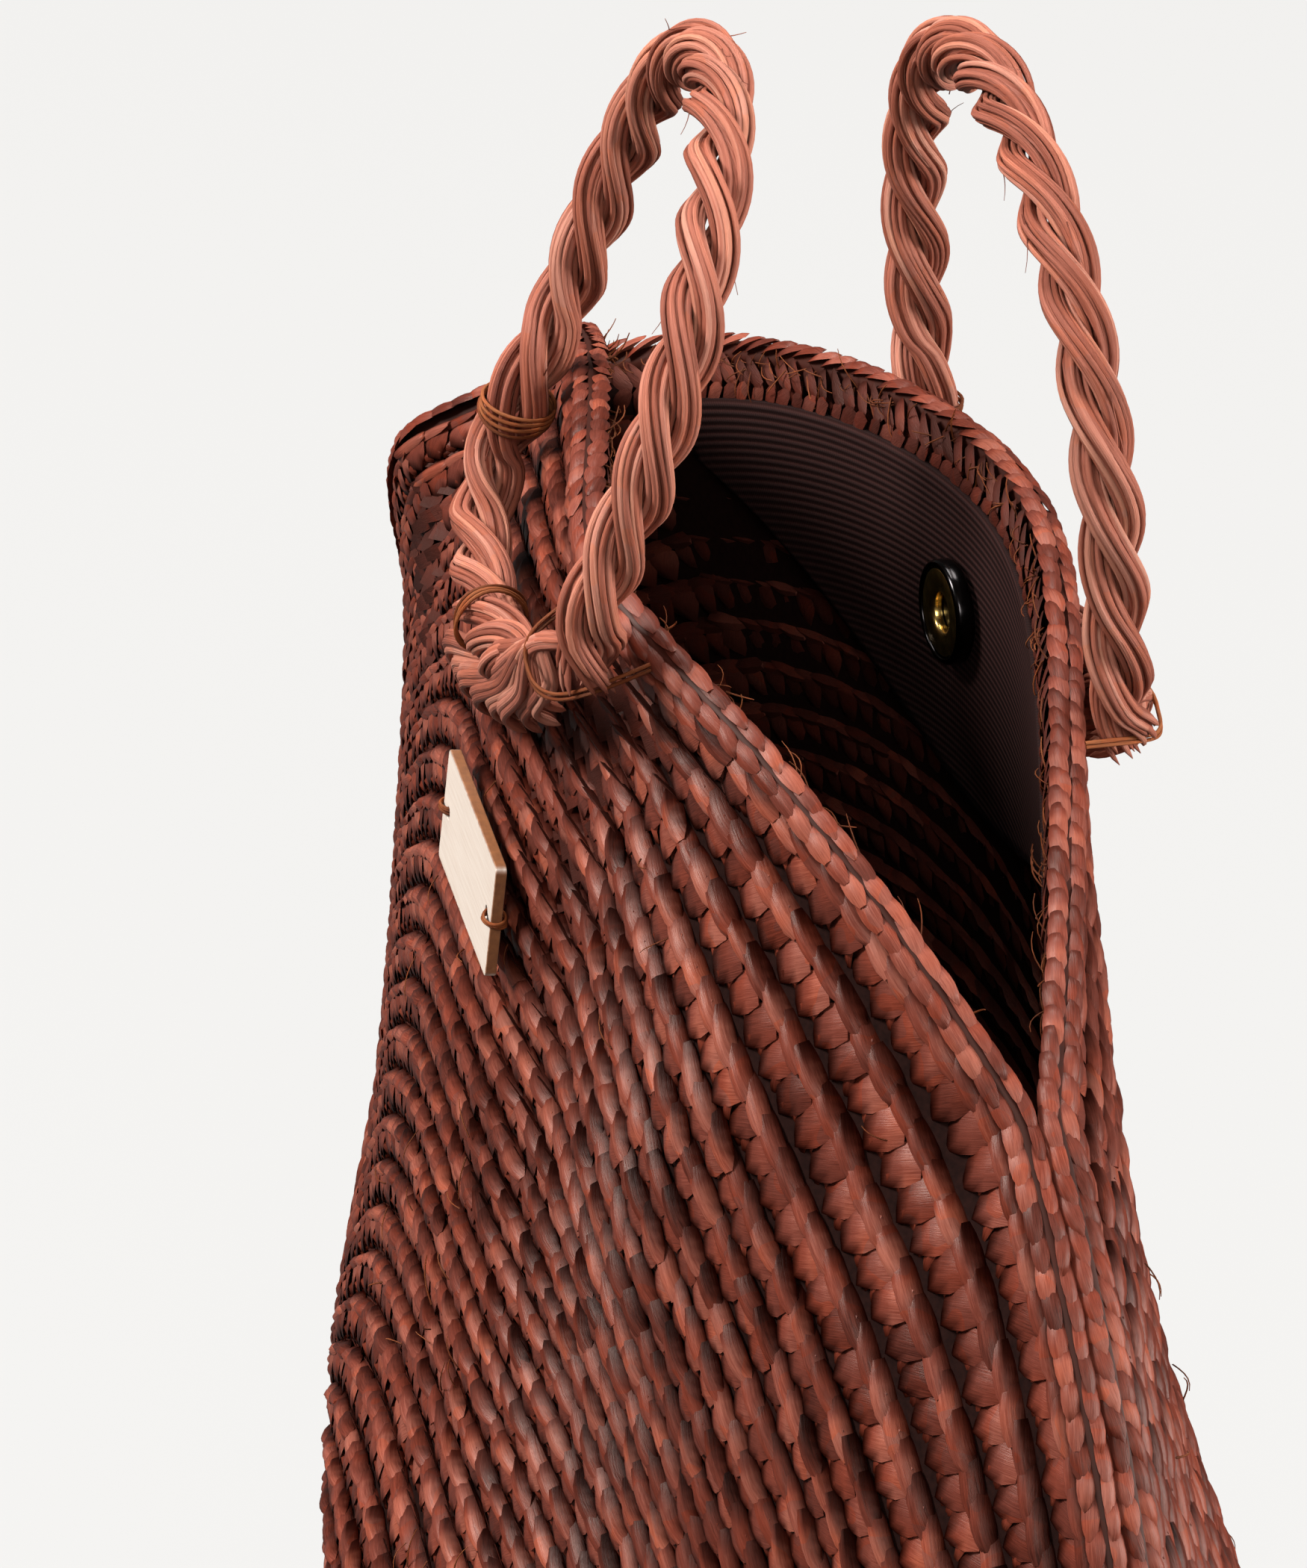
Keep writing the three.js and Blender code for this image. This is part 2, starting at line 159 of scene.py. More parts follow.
def rimPoint(side, angle, drop, depth):
    return wallPoint(side, *discPlace(angle, drop), depth)


# node helpers: a socket takes a value, another socket or a node's first output
def fill(tree, sockets, values):
    for key, value in values.items():
        if isinstance(value, bpy.types.Node):
            value = value.outputs[0]
        if isinstance(value, bpy.types.NodeSocket):
            tree.links.new(value, sockets[key])
        elif sockets[key].type == "RGBA":
            sockets[key].default_value = (*value, 1)
        else:
            sockets[key].default_value = value


def addNode(tree, kind, values=None, **settings):
    node = tree.nodes.new(kind)
    for label, value in settings.items():
        setattr(node, label, value)
    fill(tree, node.inputs, values or {})
    return node


def treeOf(values):
    return next(value.id_data for value in values if isinstance(value, bpy.types.bpy_struct))


def maths(operation, *values, clamp=False):
    settings = {"operation": operation, "use_clamp": clamp}
    return addNode(treeOf(values), "ShaderNodeMath", dict(enumerate(values)), **settings).outputs[0]


def mixed(share, low, high, mode="MIX"):
    tree, values = treeOf((share, low, high)), {0: share, 6: low, 7: high}
    return addNode(tree, "ShaderNodeMix", values, data_type="RGBA", blend_type=mode).outputs[2]


def vector(*values):
    return addNode(treeOf(values), "ShaderNodeCombineXYZ", dict(enumerate(values))).outputs[0]


def parted(socket):
    return addNode(socket.id_data, "ShaderNodeSeparateXYZ", {0: socket}).outputs


def attribute(tree, name, output):
    return addNode(tree, "ShaderNodeAttribute", attribute_name=name).outputs[output]


def objectPlace(tree):
    return addNode(tree, "ShaderNodeTexCoord").outputs["Object"]


def noise(place, scale, detail=2, roughness=0.5):
    values = {"Vector": place, "Scale": scale, "Detail": detail, "Roughness": roughness}
    return addNode(place.id_data, "ShaderNodeTexNoise", values).outputs["Fac"]


def relief(height, strength, distance, sunk=False):  # sunk where height goes into the surface
    values = {"Height": height, "Strength": strength, "Distance": distance}
    return addNode(height.id_data, "ShaderNodeBump", values, invert=sunk).outputs["Normal"]


def newTree(name, kind, inputs, outputs):  # gives the tree, its inputs and its outputs
    tree = bpy.data.node_groups.new(name, kind)
    for way, sockets in (("INPUT", inputs), ("OUTPUT", outputs)):
        for label, sort in sockets.items():
            tree.interface.new_socket(label, in_out=way, socket_type="NodeSocket" + sort)
    return tree, tree.nodes.new("NodeGroupInput").outputs, tree.nodes.new("NodeGroupOutput").inputs


def newMaterial(name):
    material = bpy.data.materials.new(name)
    material.use_nodes = True
    return material, material.node_tree


def shadeWith(tree, **values):  # socket names with their blanks left out
    shader = tree.nodes["Principled BSDF"]
    sockets = {socket.name.replace(" ", ""): socket for socket in shader.inputs}
    fill(tree, sockets, values)


def named(tree, label, kind="FLOAT"):
    return addNode(tree, "GeometryNodeInputNamedAttribute", {"Name": label}, data_type=kind).outputs[0]


def stored(geometry, label, value, kind="FLOAT", domain="POINT"):
    values = {"Geometry": geometry, "Name": label, "Value": value}
    settings = {"data_type": kind, "domain": domain}
    return addNode(geometry.id_data, "GeometryNodeStoreNamedAttribute", values, **settings)


def finishTree(geometry, given, made):
    tree = geometry.id_data
    real = addNode(tree, "GeometryNodeRealizeInstances", {"Geometry": geometry})
    painted = addNode(tree, "GeometryNodeSetMaterial", {"Geometry": real, "Material": given["Finish"]})
    fill(tree, made, {0: painted})


# mesh helpers
def addObject(name, data):
    item = bpy.data.objects.new(name, data)
    bpy.context.scene.collection.objects.link(item)
    return item


def setLayer(mesh, label, values):
    values = np.asarray(values, np.float32)
    kind, field = ("FLOAT_VECTOR", "vector") if values.ndim == 2 else ("FLOAT", "value")
    mesh.attributes.new(label, kind, "POINT").data.foreach_set(field, values.ravel())


def meshObject(name, vertices, faces, material=None, strand=None, shade=None, smooth=True):
    mesh = bpy.data.meshes.new(name)
    mesh.from_pydata([tuple(v) for v in vertices], [], [tuple(f) for f in faces])
    for label, values in (("strand", strand), ("shade", shade)):
        if values is not None:
            setLayer(mesh, label, values)
    if smooth:
        mesh.polygons.foreach_set("use_smooth", [True] * len(mesh.polygons))
    if material:
        mesh.materials.append(material)
    return addObject(name, mesh)


def sharpenEdges(mesh, leastCosine=0.3):  # where a face turns over to its underside or end
    normals = {edge.key: [] for edge in mesh.edges}
    for face in mesh.polygons:
        for key in face.edge_keys:
            normals[key].append(face.normal.copy())
    sharp = [len(pair) == 2 and pair[0].dot(pair[1]) < leastCosine for pair in normals.values()]
    mesh.attributes.new("sharp_edge", "BOOLEAN", "EDGE").data.foreach_set("value", sharp)


def addRings(vertices, rings):  # gives the vertex numbers of each ring
    numbers = []
    for ring in rings:
        numbers.append(list(range(len(vertices), len(vertices) + len(ring))))
        vertices += list(ring)
    return numbers


def chained(rings, flip):  # skin over a chain of vertex rings, where a ring of one is a pole
    faces = []
    for low, high in zip(rings, rings[1:]):
        count = max(len(low), len(high))
        for k in range(count):
            n = (k + 1) % count
            if len(low) == 1:
                face = (low[0], high[n], high[k])
            elif len(high) == 1:
                face = (low[k], low[n], high[0])
            else:
                face = (low[k], low[n], high[n], high[k])
            faces.append(face[::-1] if flip else face)
    return faces


def onBag(item, slot, *nodes):  # the nodes are those that the piece stands for
    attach(item, "bag")
    if nodes:
        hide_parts(*nodes)


# photo camera
view = {
    "place": (1.90563, -0.5967, 1.41834),
    "target": (-0.07148, 0.0, 0.27429),
    "lens": 333.31,  # over the picture's long side
    "sensor": 36,
    "clip": (0.05, 50),
}


def aim(item, place, target):
    item.location = place
    item.rotation_euler = (Vector(target) - Vector(place)).to_track_quat("-Z", "Y").to_euler()


def addCamera():
    data = bpy.data.cameras.new("camera")
    data.lens, data.sensor_width = view["lens"], view["sensor"]
    data.clip_start, data.clip_end = view["clip"]
    camera = addObject("camera", data)
    aim(camera, view["place"], view["target"])
    bpy.context.scene.camera = camera


# studio: pale floor, soft lamps and a white world for the camera
studio = {
    "backdrop": (0.905, 0.896, 0.88),
    "worldLight": 0.17,
    "worldColour": (1, 0.93, 0.89),
    "sheenLoss": 0.5,  # of the world's light in highlights
    "floorSize": 6,
    "floorHeight": -0.0005,
    "floorBounce": (0.05, 0.049, 0.048),  # what the bag gets back from the floor
    "floorColour": (0.33, 0.326, 0.32),
    "floorShown": 0.85,  # share of the backdrop, as the rest keeps the bag's shadow
    "target": (0, 0, 0.25),
    "lamps": {  # place, size and power
        "keyLamp": ((-0.35, -1.6, 1.75), 0.7, 100),
        "fillLamp": ((1.0, 2.0, 0.8), 1.2, 95),
        "viewLamp": ((1.6, -0.3, 1.35), 0.6, 18),
        "topLamp": ((-0.8, 0.1, 2.1), 0.9, 45),
    },
}


def addWorld():
    world = bpy.data.worlds.new("studioWorld")
    bpy.context.scene.world = world
    world.use_nodes = True
    tree = world.node_tree
    tree.nodes.clear()
    rays, level = addNode(tree, "ShaderNodeLightPath").outputs, studio["worldLight"]
    strength = maths("MULTIPLY_ADD", rays["Is Glossy Ray"], -level * studio["sheenLoss"], level)
    light = addNode(tree, "ShaderNodeBackground", {"Color": studio["worldColour"], "Strength": strength})
    seen = addNode(tree, "ShaderNodeBackground", {"Color": studio["backdrop"]})
    direct = maths("MAXIMUM", rays["Is Camera Ray"], rays["Is Transmission Ray"])
    both = addNode(tree, "ShaderNodeMixShader", {0: direct, 1: light, 2: seen})
    addNode(tree, "ShaderNodeOutputWorld", {"Surface": both})


def floorMaterial():
    material, tree = newMaterial("paleFloor")
    tree.nodes.clear()
    direct = addNode(tree, "ShaderNodeLightPath").outputs["Is Camera Ray"]
    colour = mixed(direct, studio["floorBounce"], studio["floorColour"])
    matt = addNode(tree, "ShaderNodeBsdfDiffuse", {"Color": colour})
    glow = addNode(tree, "ShaderNodeEmission", {"Color": studio["backdrop"]})
    shown = maths("MULTIPLY", direct, studio["floorShown"])
    both = addNode(tree, "ShaderNodeMixShader", {0: shown, 1: matt, 2: glow})
    addNode(tree, "ShaderNodeOutputMaterial", {"Surface": both})
    return material


def addStudio():
    bpy.context.scene.view_settings.view_transform = "Standard"
    addWorld()
    size, height = studio["floorSize"], studio["floorHeight"]
    corners = [(x * size, y * size, height) for x, y in ((-1, -1), (1, -1), (1, 1), (-1, 1))]
    meshObject("floor", corners, [(0, 1, 2, 3)], floorMaterial(), smooth=False)
    for name, (place, size, power) in studio["lamps"].items():
        data = bpy.data.lights.new(name, "AREA")
        data.energy, data.size = power, size
        aim(addObject(name, data), place, studio["target"])


addCamera()
addStudio()
print("camera and studio ready")

# straw, rope and thread: colours, how fine the streaks are across and along, patches, gloss and bump
fibres = {
    "straw": {
        "Dark": (0.024, 0.0045, 0.0027), "Middle": (0.125, 0.0285, 0.0178), "Light": (0.32, 0.106, 0.07),
        "Warm": (1.25, 0.9, 0.65), "Across": 6.0, "Along": 0.25, "Patch": 55, "Gloss": 0.27, "bump": 0.25,
    },
    # darker copy of the straw for the bag's inside, its rim filling and its facing braid: painted shade
    "shadedInnerStraw": {
        "Dark": (0.022, 0.005, 0.003), "Middle": (0.057, 0.013, 0.0085), "Light": (0.125, 0.036, 0.023),
        "Warm": (1.4, 0.9, 0.65), "Across": 7.0, "Along": 0.7, "Patch": 55, "Gloss": 0.4, "bump": 0.5,
    },
    "rope": {
        "Dark": (0.11, 0.024, 0.014), "Middle": (0.33, 0.105, 0.067), "Light": (0.58, 0.29, 0.21),
        "Warm": (1.1, 0.95, 0.8), "Across": 3.4, "Along": 0.04, "Patch": 40, "Gloss": 0.4, "bump": 0.9,
    },
    "thread": {
        "Dark": (0.05, 0.012, 0.004), "Middle": (0.17, 0.045, 0.013), "Light": (0.32, 0.11, 0.04),
        "Warm": (1.2, 0.9, 0.7), "Across": 2.2, "Along": 0.35, "Patch": 120, "Gloss": 0.5, "bump": 0.7,
    },
}
fibreFinish = {
    "specular": 0.21,
    "specularTint": (1, 0.78, 0.68),
    "bumpDistance": 0.0004,
    # tint of the painted shade in the grooves between the rows
    "grooveTint": (0.05, 0.02, 0.012),
    "strandShare": 0.55,
    "streakShare": 0.75,
    "patchShare": 0.5,
    "levelStart": 0.42,
    "emerge": 4.0,  # millimetres over which painted shade fades where a strand comes out from under the one before it
    # how dark that painted shade starts
    "emergeDark": 0.25,
    "warmShare": 0.8,
    "warmLegs": 0.7,
    "roughSpan": 0.25,
}
# near-black sheet under the rows, painted shade for the grooves
shadeSheetFinish = {
    "scale": 900, "detail": 2, "dark": (0.003, 0.001, 0.0008), "light": (0.016, 0.005, 0.0035),
    "roughness": 0.85, "roughSpan": 0, "SpecularIORLevel": 0.05,
}


def fibreTree():
    # from a strand coordinate: x across, y along in millimetres, z a random number that is above 1 on legs
    look = fibreFinish
    colours = dict.fromkeys(("Dark", "Middle", "Light", "Warm"), "Color")
    values = dict.fromkeys(("Across", "Along", "Patch", "Gloss", "Specular"), "Float")
    outputs = {"Color": "Color", "Roughness": "Float", "Height": "Float", "Shine": "Float"}
    tree, given, made = newTree("fibre", "ShaderNodeTree", {**colours, **values}, outputs)
    across, along, number = parted(attribute(tree, "strand", "Vector"))
    tone, shade = attribute(tree, "tone", "Fac"), attribute(tree, "shade", "Fac")
    lay = vector(
        maths("MULTIPLY", across, given["Across"]),
        maths("MULTIPLY", along, given["Along"]),
        maths("MULTIPLY_ADD", number, 19.0, maths("MULTIPLY", tone, 37.0)),
    )
    streaks = noise(lay, 1.0, 3, 0.65)
    patch = noise(objectPlace(tree), given["Patch"])
    # strand to strand tone, fine streaks and slow patches add up
    strandTone = maths("FRACT", maths("ADD", tone, number))
    level = maths("MULTIPLY", strandTone, look["strandShare"])
    level = maths("MULTIPLY_ADD", streaks, look["streakShare"], level)
    level = maths("MULTIPLY_ADD", patch, look["patchShare"], level)
    level = maths("SUBTRACT", level, look["levelStart"], clamp=True)
    # painted shade where a strand comes out from under the one before it
    clear, least = maths("DIVIDE", along, look["emerge"], clamp=True), look["emergeDark"]
    level = maths("MULTIPLY", level, maths("MULTIPLY_ADD", clear, 1 - least, least))
    body = mixed(maths("MULTIPLY", level, 2.0, clamp=True), given["Dark"], given["Middle"])
    over = maths("MULTIPLY", maths("SUBTRACT", level, 0.5, clamp=True), 1.7, clamp=True)
    bright = mixed(over, body, given["Light"])
    # some strands and all the legs are warmer
    chance = maths("FRACT", maths("MULTIPLY", maths("ADD", strandTone, patch), 5.3))
    tinge = maths("MULTIPLY", maths("POWER", chance, 2.0), look["warmShare"])
    leg = maths("MULTIPLY", maths("GREATER_THAN", number, 1.0), look["warmLegs"])
    warm = mixed(maths("MAXIMUM", tinge, leg), bright, mixed(1.0, bright, given["Warm"], "MULTIPLY"))
    # painted shade: nearly black and without shine where the stored shade marks the grooves between the rows
    fill(tree, made, {
        "Color": mixed(shade, warm, look["grooveTint"], "MULTIPLY"),
        "Roughness": maths("MULTIPLY_ADD", streaks, look["roughSpan"], given["Gloss"]),
        "Height": streaks,
        "Shine": maths("MULTIPLY", maths("SUBTRACT", 1.0, shade), given["Specular"]),
    })
    return tree


fibre = fibreTree()


def fibreMaterial(name):
    material, tree = newMaterial(name)
    values = {"Specular": fibreFinish["specular"], **fibres[name]}
    bump = values.pop("bump")
    made = addNode(tree, "ShaderNodeGroup", values, node_tree=fibre).outputs
    shadeWith(
        tree, BaseColor=made["Color"], Roughness=made["Roughness"], SpecularIORLevel=made["Shine"],
        SpecularTint=fibreFinish["specularTint"],
        Normal=relief(made["Height"], bump, fibreFinish["bumpDistance"]),
    )
    return material


def grainMaterial(name, scale, detail, dark, light, roughness, roughSpan, **values):
    material, tree = newMaterial(name)
    grain = noise(objectPlace(tree), scale, detail)
    rough = maths("MULTIPLY_ADD", grain, roughSpan, roughness)
    shadeWith(tree, BaseColor=mixed(grain, dark, light), Roughness=rough, **values)
    return material


straw, shadedInnerStraw, rope, threadPaint = (fibreMaterial(name) for name in fibres)
# the sheet's near-black material stands for shade in the grooves
groove = grainMaterial("groove", **shadeSheetFinish)

# one plait step in millimetres, with X along the row, Y across it and Z off the wall: an upper scale, a lower
# scale that crosses it and thin legs at the lower edge, each an arched ribbon that narrows at its ends
# a piece's shade span is the Y range over which it is painted darker towards the row's edge, as shade in the
# grooves
legForm = {
    "width": 1.9, "crown": 0.5, "ends": (0.1, 0.3), "power": 4.0, "groove": (-2.2, -4.5), "cells": (2, 2),
}
facingForm = {"width": 3.5, "crown": 0.45, "ends": (0.35, 0.6), "power": 2.5, "arch": 0.3, "cells": (4, 3)}
plait = {
    "step": 6.0 * mm,
    "variants": 6,
    "seed": 4,
    "startWander": 0.25,
    "endWander": 0.3,
    "widthSpan": (0.88, 1.1),
    "crownSpan": (0.75, 1.25),
    "archWander": 0.15,
    "twistWander": 0.6,
    "upper": {
        "from": (-5.8, 3.0, -0.7), "to": (4.4, 2.1, 0.1), "width": 3.3, "crown": 1.15, "ends": (0.3, 0.6),
        "power": 2.8, "arch": 0.3, "roll": 1.6, "groove": (2.7, 3.8), "cells": (5, 3),
    },
    "lower": {
        "from": (-2.0, -3.2, -1.1), "to": (1.5, 2.0, -0.3), "width": 6.0, "crown": 0.55, "ends": (0.12, 0.3),
        "power": 6.0, "arch": 0.5, "groove": (-2.0, -3.2), "cells": (3, 3),
    },
    "leg": {"from": (-0.9, -1.4, -1.0), "to": (1.5, -4.3, -2.0), "arch": 0.45, **legForm},
    "legBehind": {"from": (1.1, -0.9, -1.0), "to": (3.6, -4.0, -2.0), "arch": 0.4, **legForm},
    "ridge": {
        "from": (-4.9, 0.5, -0.35), "to": (4.1, -0.35, 0.6), "width": 3.5, "crown": 1.1, "ends": (0.4, 0.6),
        "power": 2.4, "arch": 0.25, "cells": (5, 3),
    },
    "facingHigh": {"from": (-3.4, 3.9, -0.6), "to": (2.4, 0.1, 0.6), **facingForm},
    "facingLow": {"from": (-3.4, -3.9, -0.7), "to": (2.4, -0.1, 0.7), **facingForm},
}


def ribbon(spec, start, end, width, crown, arch, twist, number, cells):
    # closed lens-shaped ribbon between two points, with its strand coordinates
    start, run = np.array(start), np.array(end) - np.array(start)
    sideways = np.cross([0, 0, 1.0], unit(run * (1, 1, 0)))
    lengthCells, widthCells = cells
    vertices, strand = [], []
    for i in range(lengthCells + 1):
        t = i / lengthCells
        middle = start + run * t
        middle[2] += arch * math.sin(math.pi * t)
        full = 1 - spec["ends"][t > 0.5] * abs(2 * t - 1) ** spec["power"]
        for j in range(widthCells + 1):
            s = 2 * j / widthCells - 1
            point = middle + sideways * width / 2 * full * s
            point[2] += crown * (1 - s * s) * full ** 1.3 + twist * s * (t - 0.5)
            point[2] -= spec.get("roll", 0) * ((s + 1) / 2) ** 2 * full
            vertices.append(point)
            strand.append((s * width / 2 * full, t * np.linalg.norm(run), number))
    row, last = widthCells + 1, lengthCells * (widthCells + 1)
    faces = [tuple(range(row)), tuple(reversed(range(last, last + row)))]
    for a in range(0, last, row):
        faces += [(b, b + row, b + row + 1, b + 1) for b in range(a, a + widthCells)]
        faces.append((a, a + widthCells, a + row + widthCells, a + row))
    return vertices, faces, strand


def wander(rng, key):
    return rng.uniform(-plait[key], plait[key])


def plaitStep(name, rng, mirrored, pieces, cells):
    vertices, faces, strand, shade = [], [], [], []
    paintsGrooveShade = "leg" in pieces  # only outer rows have deep grooves, and only they get painted shade
    for piece in pieces:
        spec = plait[piece]
        start = [c + wander(rng, "startWander") for c in spec["from"]]
        end = [c + wander(rng, "endWander") for c in spec["to"]]
        width = spec["width"] * rng.uniform(*plait["widthSpan"])
        crown = spec["crown"] * rng.uniform(*plait["crownSpan"])
        arch, twist = spec["arch"] + wander(rng, "archWander"), wander(rng, "twistWander")
        number = rng.random() + ("leg" in piece)
        made = ribbon(spec, start, end, width, crown, arch, twist, number, cells or spec["cells"])
        faces += [tuple(len(vertices) + k for k in face) for face in made[1]]
        vertices += [point * mm for point in made[0]]
        strand += made[2]
        # painted shade across the row, stored for the fibre material
        shade += [smoothStep(*spec["groove"], point[1]) if paintsGrooveShade else 0.0 for point in made[0]]
    if mirrored:
        vertices = [point * (1, -1, 1) for point in vertices]
        faces = [face[::-1] for face in faces]
    item = meshObject(name, vertices, faces, strand=strand, shade=shade)
    sharpenEdges(item.data)
    return item


def stepCollection(name, seed, mirrored, pieces, cells=None):
    rng = random.Random(seed)
    group = bpy.data.collections.new(name)
    for i in range(plait["variants"]):
        item = plaitStep(f"{name}_{i}", rng, mirrored, pieces, cells)
        bpy.context.scene.collection.objects.unlink(item)
        group.objects.link(item)
    return group


def rowTree():
    # lays picked plait steps along each polyline: X follows the row, Z the stored outward direction
    inputs = {
        "Rows": "Geometry", "Steps": "Collection", "Step Length": "Float", "Jitter": "Float", "Size": "Float",
        "Seed": "Int", "Finish": "Material",
    }
    tree, given, made = newTree("layPlait", "GeometryNodeTree", inputs, {"Plait": "Geometry"})
    size, seed = given["Size"], given["Seed"]

    def randomNode(kind, values):
        return addNode(tree, "FunctionNodeRandomValue", {"Seed": seed, **values}, data_type=kind).outputs

    curve = addNode(tree, "GeometryNodeMeshToCurve", {"Mesh": given["Rows"]})
    values = {"Curve": curve, "Length": given["Step Length"]}
    points = addNode(tree, "GeometryNodeCurveToPoints", values, mode="LENGTH").outputs
    values = {0: named(tree, "outward", "FLOAT_VECTOR"), 1: points["Tangent"]}
    turn = addNode(tree, "FunctionNodeAxesToRotation", values, primary_axis="Z", secondary_axis="X")
    least, most = (
        addNode(tree, "ShaderNodeVectorMath", {0: (end,) * 3, "Scale": given["Jitter"]}, operation="SCALE")
        for end in (-1, 1)
    )
    spin = randomNode("FLOAT_VECTOR", {0: least, 1: most})[0]
    wobble = addNode(tree, "FunctionNodeEulerToRotation", {0: spin})
    turned = addNode(tree, "FunctionNodeRotateRotation", {0: turn, 1: wobble}, rotation_space="LOCAL")
    values = {"Collection": given["Steps"], "Separate Children": True, "Reset Children": True}
    steps = addNode(tree, "GeometryNodeCollectionInfo", values)
    narrow = maths("MULTIPLY", named(tree, "spread"), size)
    laid = addNode(tree, "GeometryNodeInstanceOnPoints", {
        "Points": points["Points"],
        "Instance": steps,
        "Pick Instance": True,
        "Instance Index": randomNode("INT", {4: 0, 5: plait["variants"] - 1})[2],
        "Rotation": turned,
        "Scale": vector(size, narrow, narrow),
    })
    finishTree(stored(laid, "tone", randomNode("FLOAT", {})[1], domain="INSTANCE"), given, made)
    return tree


layPlait = rowTree()


def guideMesh(name, lines, layers):
    # polylines as one edge mesh that carries its point attributes into the node tree
    edges, base = [], 0
    for line in lines:
        edges += [(base + i, base + i + 1) for i in range(len(line) - 1)]
        base += len(line)
    mesh = bpy.data.meshes.new(name + "_guide")
    mesh.from_pydata([tuple(point) for line in lines for point in line], edges, [])
    for label, values in layers.items():
        setLayer(mesh, label, np.concatenate(values))
    return addObject(name + "_guide", mesh)


def runNodes(name, guide, tree, values):
    modifier = guide.modifiers.new(tree.name, "NODES")
    modifier.node_group = tree
    for socket in tree.interface.items_tree:
        if socket.in_out == "INPUT" and socket.name in values:
            modifier[socket.identifier] = values[socket.name]
    graph = bpy.context.evaluated_depsgraph_get()
    made = guide.evaluated_get(graph)
    mesh = bpy.data.meshes.new_from_object(made, preserve_all_data_layers=True, depsgraph=graph)
    bpy.data.objects.remove(guide)
    mesh.name = name
    print(name, len(mesh.polygons), "faces")
    return addObject(name, mesh)


def layRows(name, rows, *values):
    # rows is a list of (points, outward directions, share of the full row width)
    lines, outward, spread = zip(*rows)
    guide = guideMesh(name, lines, {"outward": outward, "spread": spread})
    labels = ("Steps", "Step Length", "Jitter", "Size", "Seed", "Finish")
    return runNodes(name, guide, layPlait, dict(zip(labels, values)))


# coiled braid of the discs
coil = {
    "pitch": 9.0 * mm,
    "firstDrop": 2.6 * mm,  # the rim's own ridges come before the first row
    "start": (-0.03, -0.08),  # middle of the oval coil's first straight run
    "half": 0.055,
    "tilt": 8,
    "sample": 2.2 * mm,
    "lateTurn": 0.16,  # share of an outer turn in which it steps inwards
    "spread": (0.35, 1.5),
    "startShift": 0.45,
    "startSink": 0.6 * mm,
    "startSpread": 0.9,
    "bed": 0.2 * mm,  # rows sit this deep in the wall
    "insideBed": 3.1 * mm,
    "rows": 31,
    "bands": {"outer": (0, 6), "middle": (6, 14), "inner": (14, 31)},
    "jitter": 0.06,
    "seed": 11,
    "insideSeed": 21,
    "insideJitter": 0.05,
    "insideSize": 1.04,
    "insideCells": (3, 2),
    "rounding": (-13, -10, -7, -4, -1, 1, 4, 7, 10, 13),  # turns over which the crease is averaged
    "roundDrop": (3 * mm, 22 * mm),
    "roundHeight": (0, 60 * mm),
    "fullness": {front: 12 * mm, back: 0},
    "fullDrop": (3 * mm, 42 * mm, 55 * mm, 140 * mm),
    "fullAngle": (8, 36, 46, 95),
    "pressedBelow": (0.5 * mm, 5 * mm),
    "pressedLift": 1.5 * mm,
    "pressedShare": 0.6,
    # the near-black sheet of painted shade under the rows
    "coreDepths": (2.0 * mm, 2.6 * mm),
    "coreTurns": 144,
    "coreRings": 40,
    "coreEdge": 0.8 * mm,
}


def laidPoint(side, u, w, depth=0.0):
    # outer braid: the wall with its crease below the mouth's ends rounded off, fuller beside the near end
    point = wallPoint(side, u, w, depth)
    drop = bag["discRadius"] - np.hypot(u, w)
    rounded, turns = 0, [math.radians(turn) for turn in coil["rounding"]]
    for c, s in ((math.cos(turn), math.sin(turn)) for turn in turns):
        rounded = rounded + wallPoint(side, c * u + s * w, c * w - s * u, depth)[..., 1] / len(turns)
    share = smoothStep(*coil["roundDrop"], drop) * smoothStep(*coil["roundHeight"], w)
    full = hump(*coil["fullDrop"], drop) * hump(*coil["fullAngle"], np.degrees(np.arctan2(u, w)))
    point[..., 1] += (rounded - point[..., 1]) * share + side * coil["fullness"][side] * full
    return point


def laidNormal(side, u, w):  # out of the bag
    return -faceNormal(laidPoint, side, u, w, bag["wallStep"])


def settle(points):
    # rows are pressed flat, and lifted clear of the floor, where the bag stands on them
    flat = 1 - smoothStep(*coil["pressedBelow"], points[:, 2])
    points[:, 2] += coil["pressedLift"] * flat
    return 1 - coil["pressedShare"] * flat


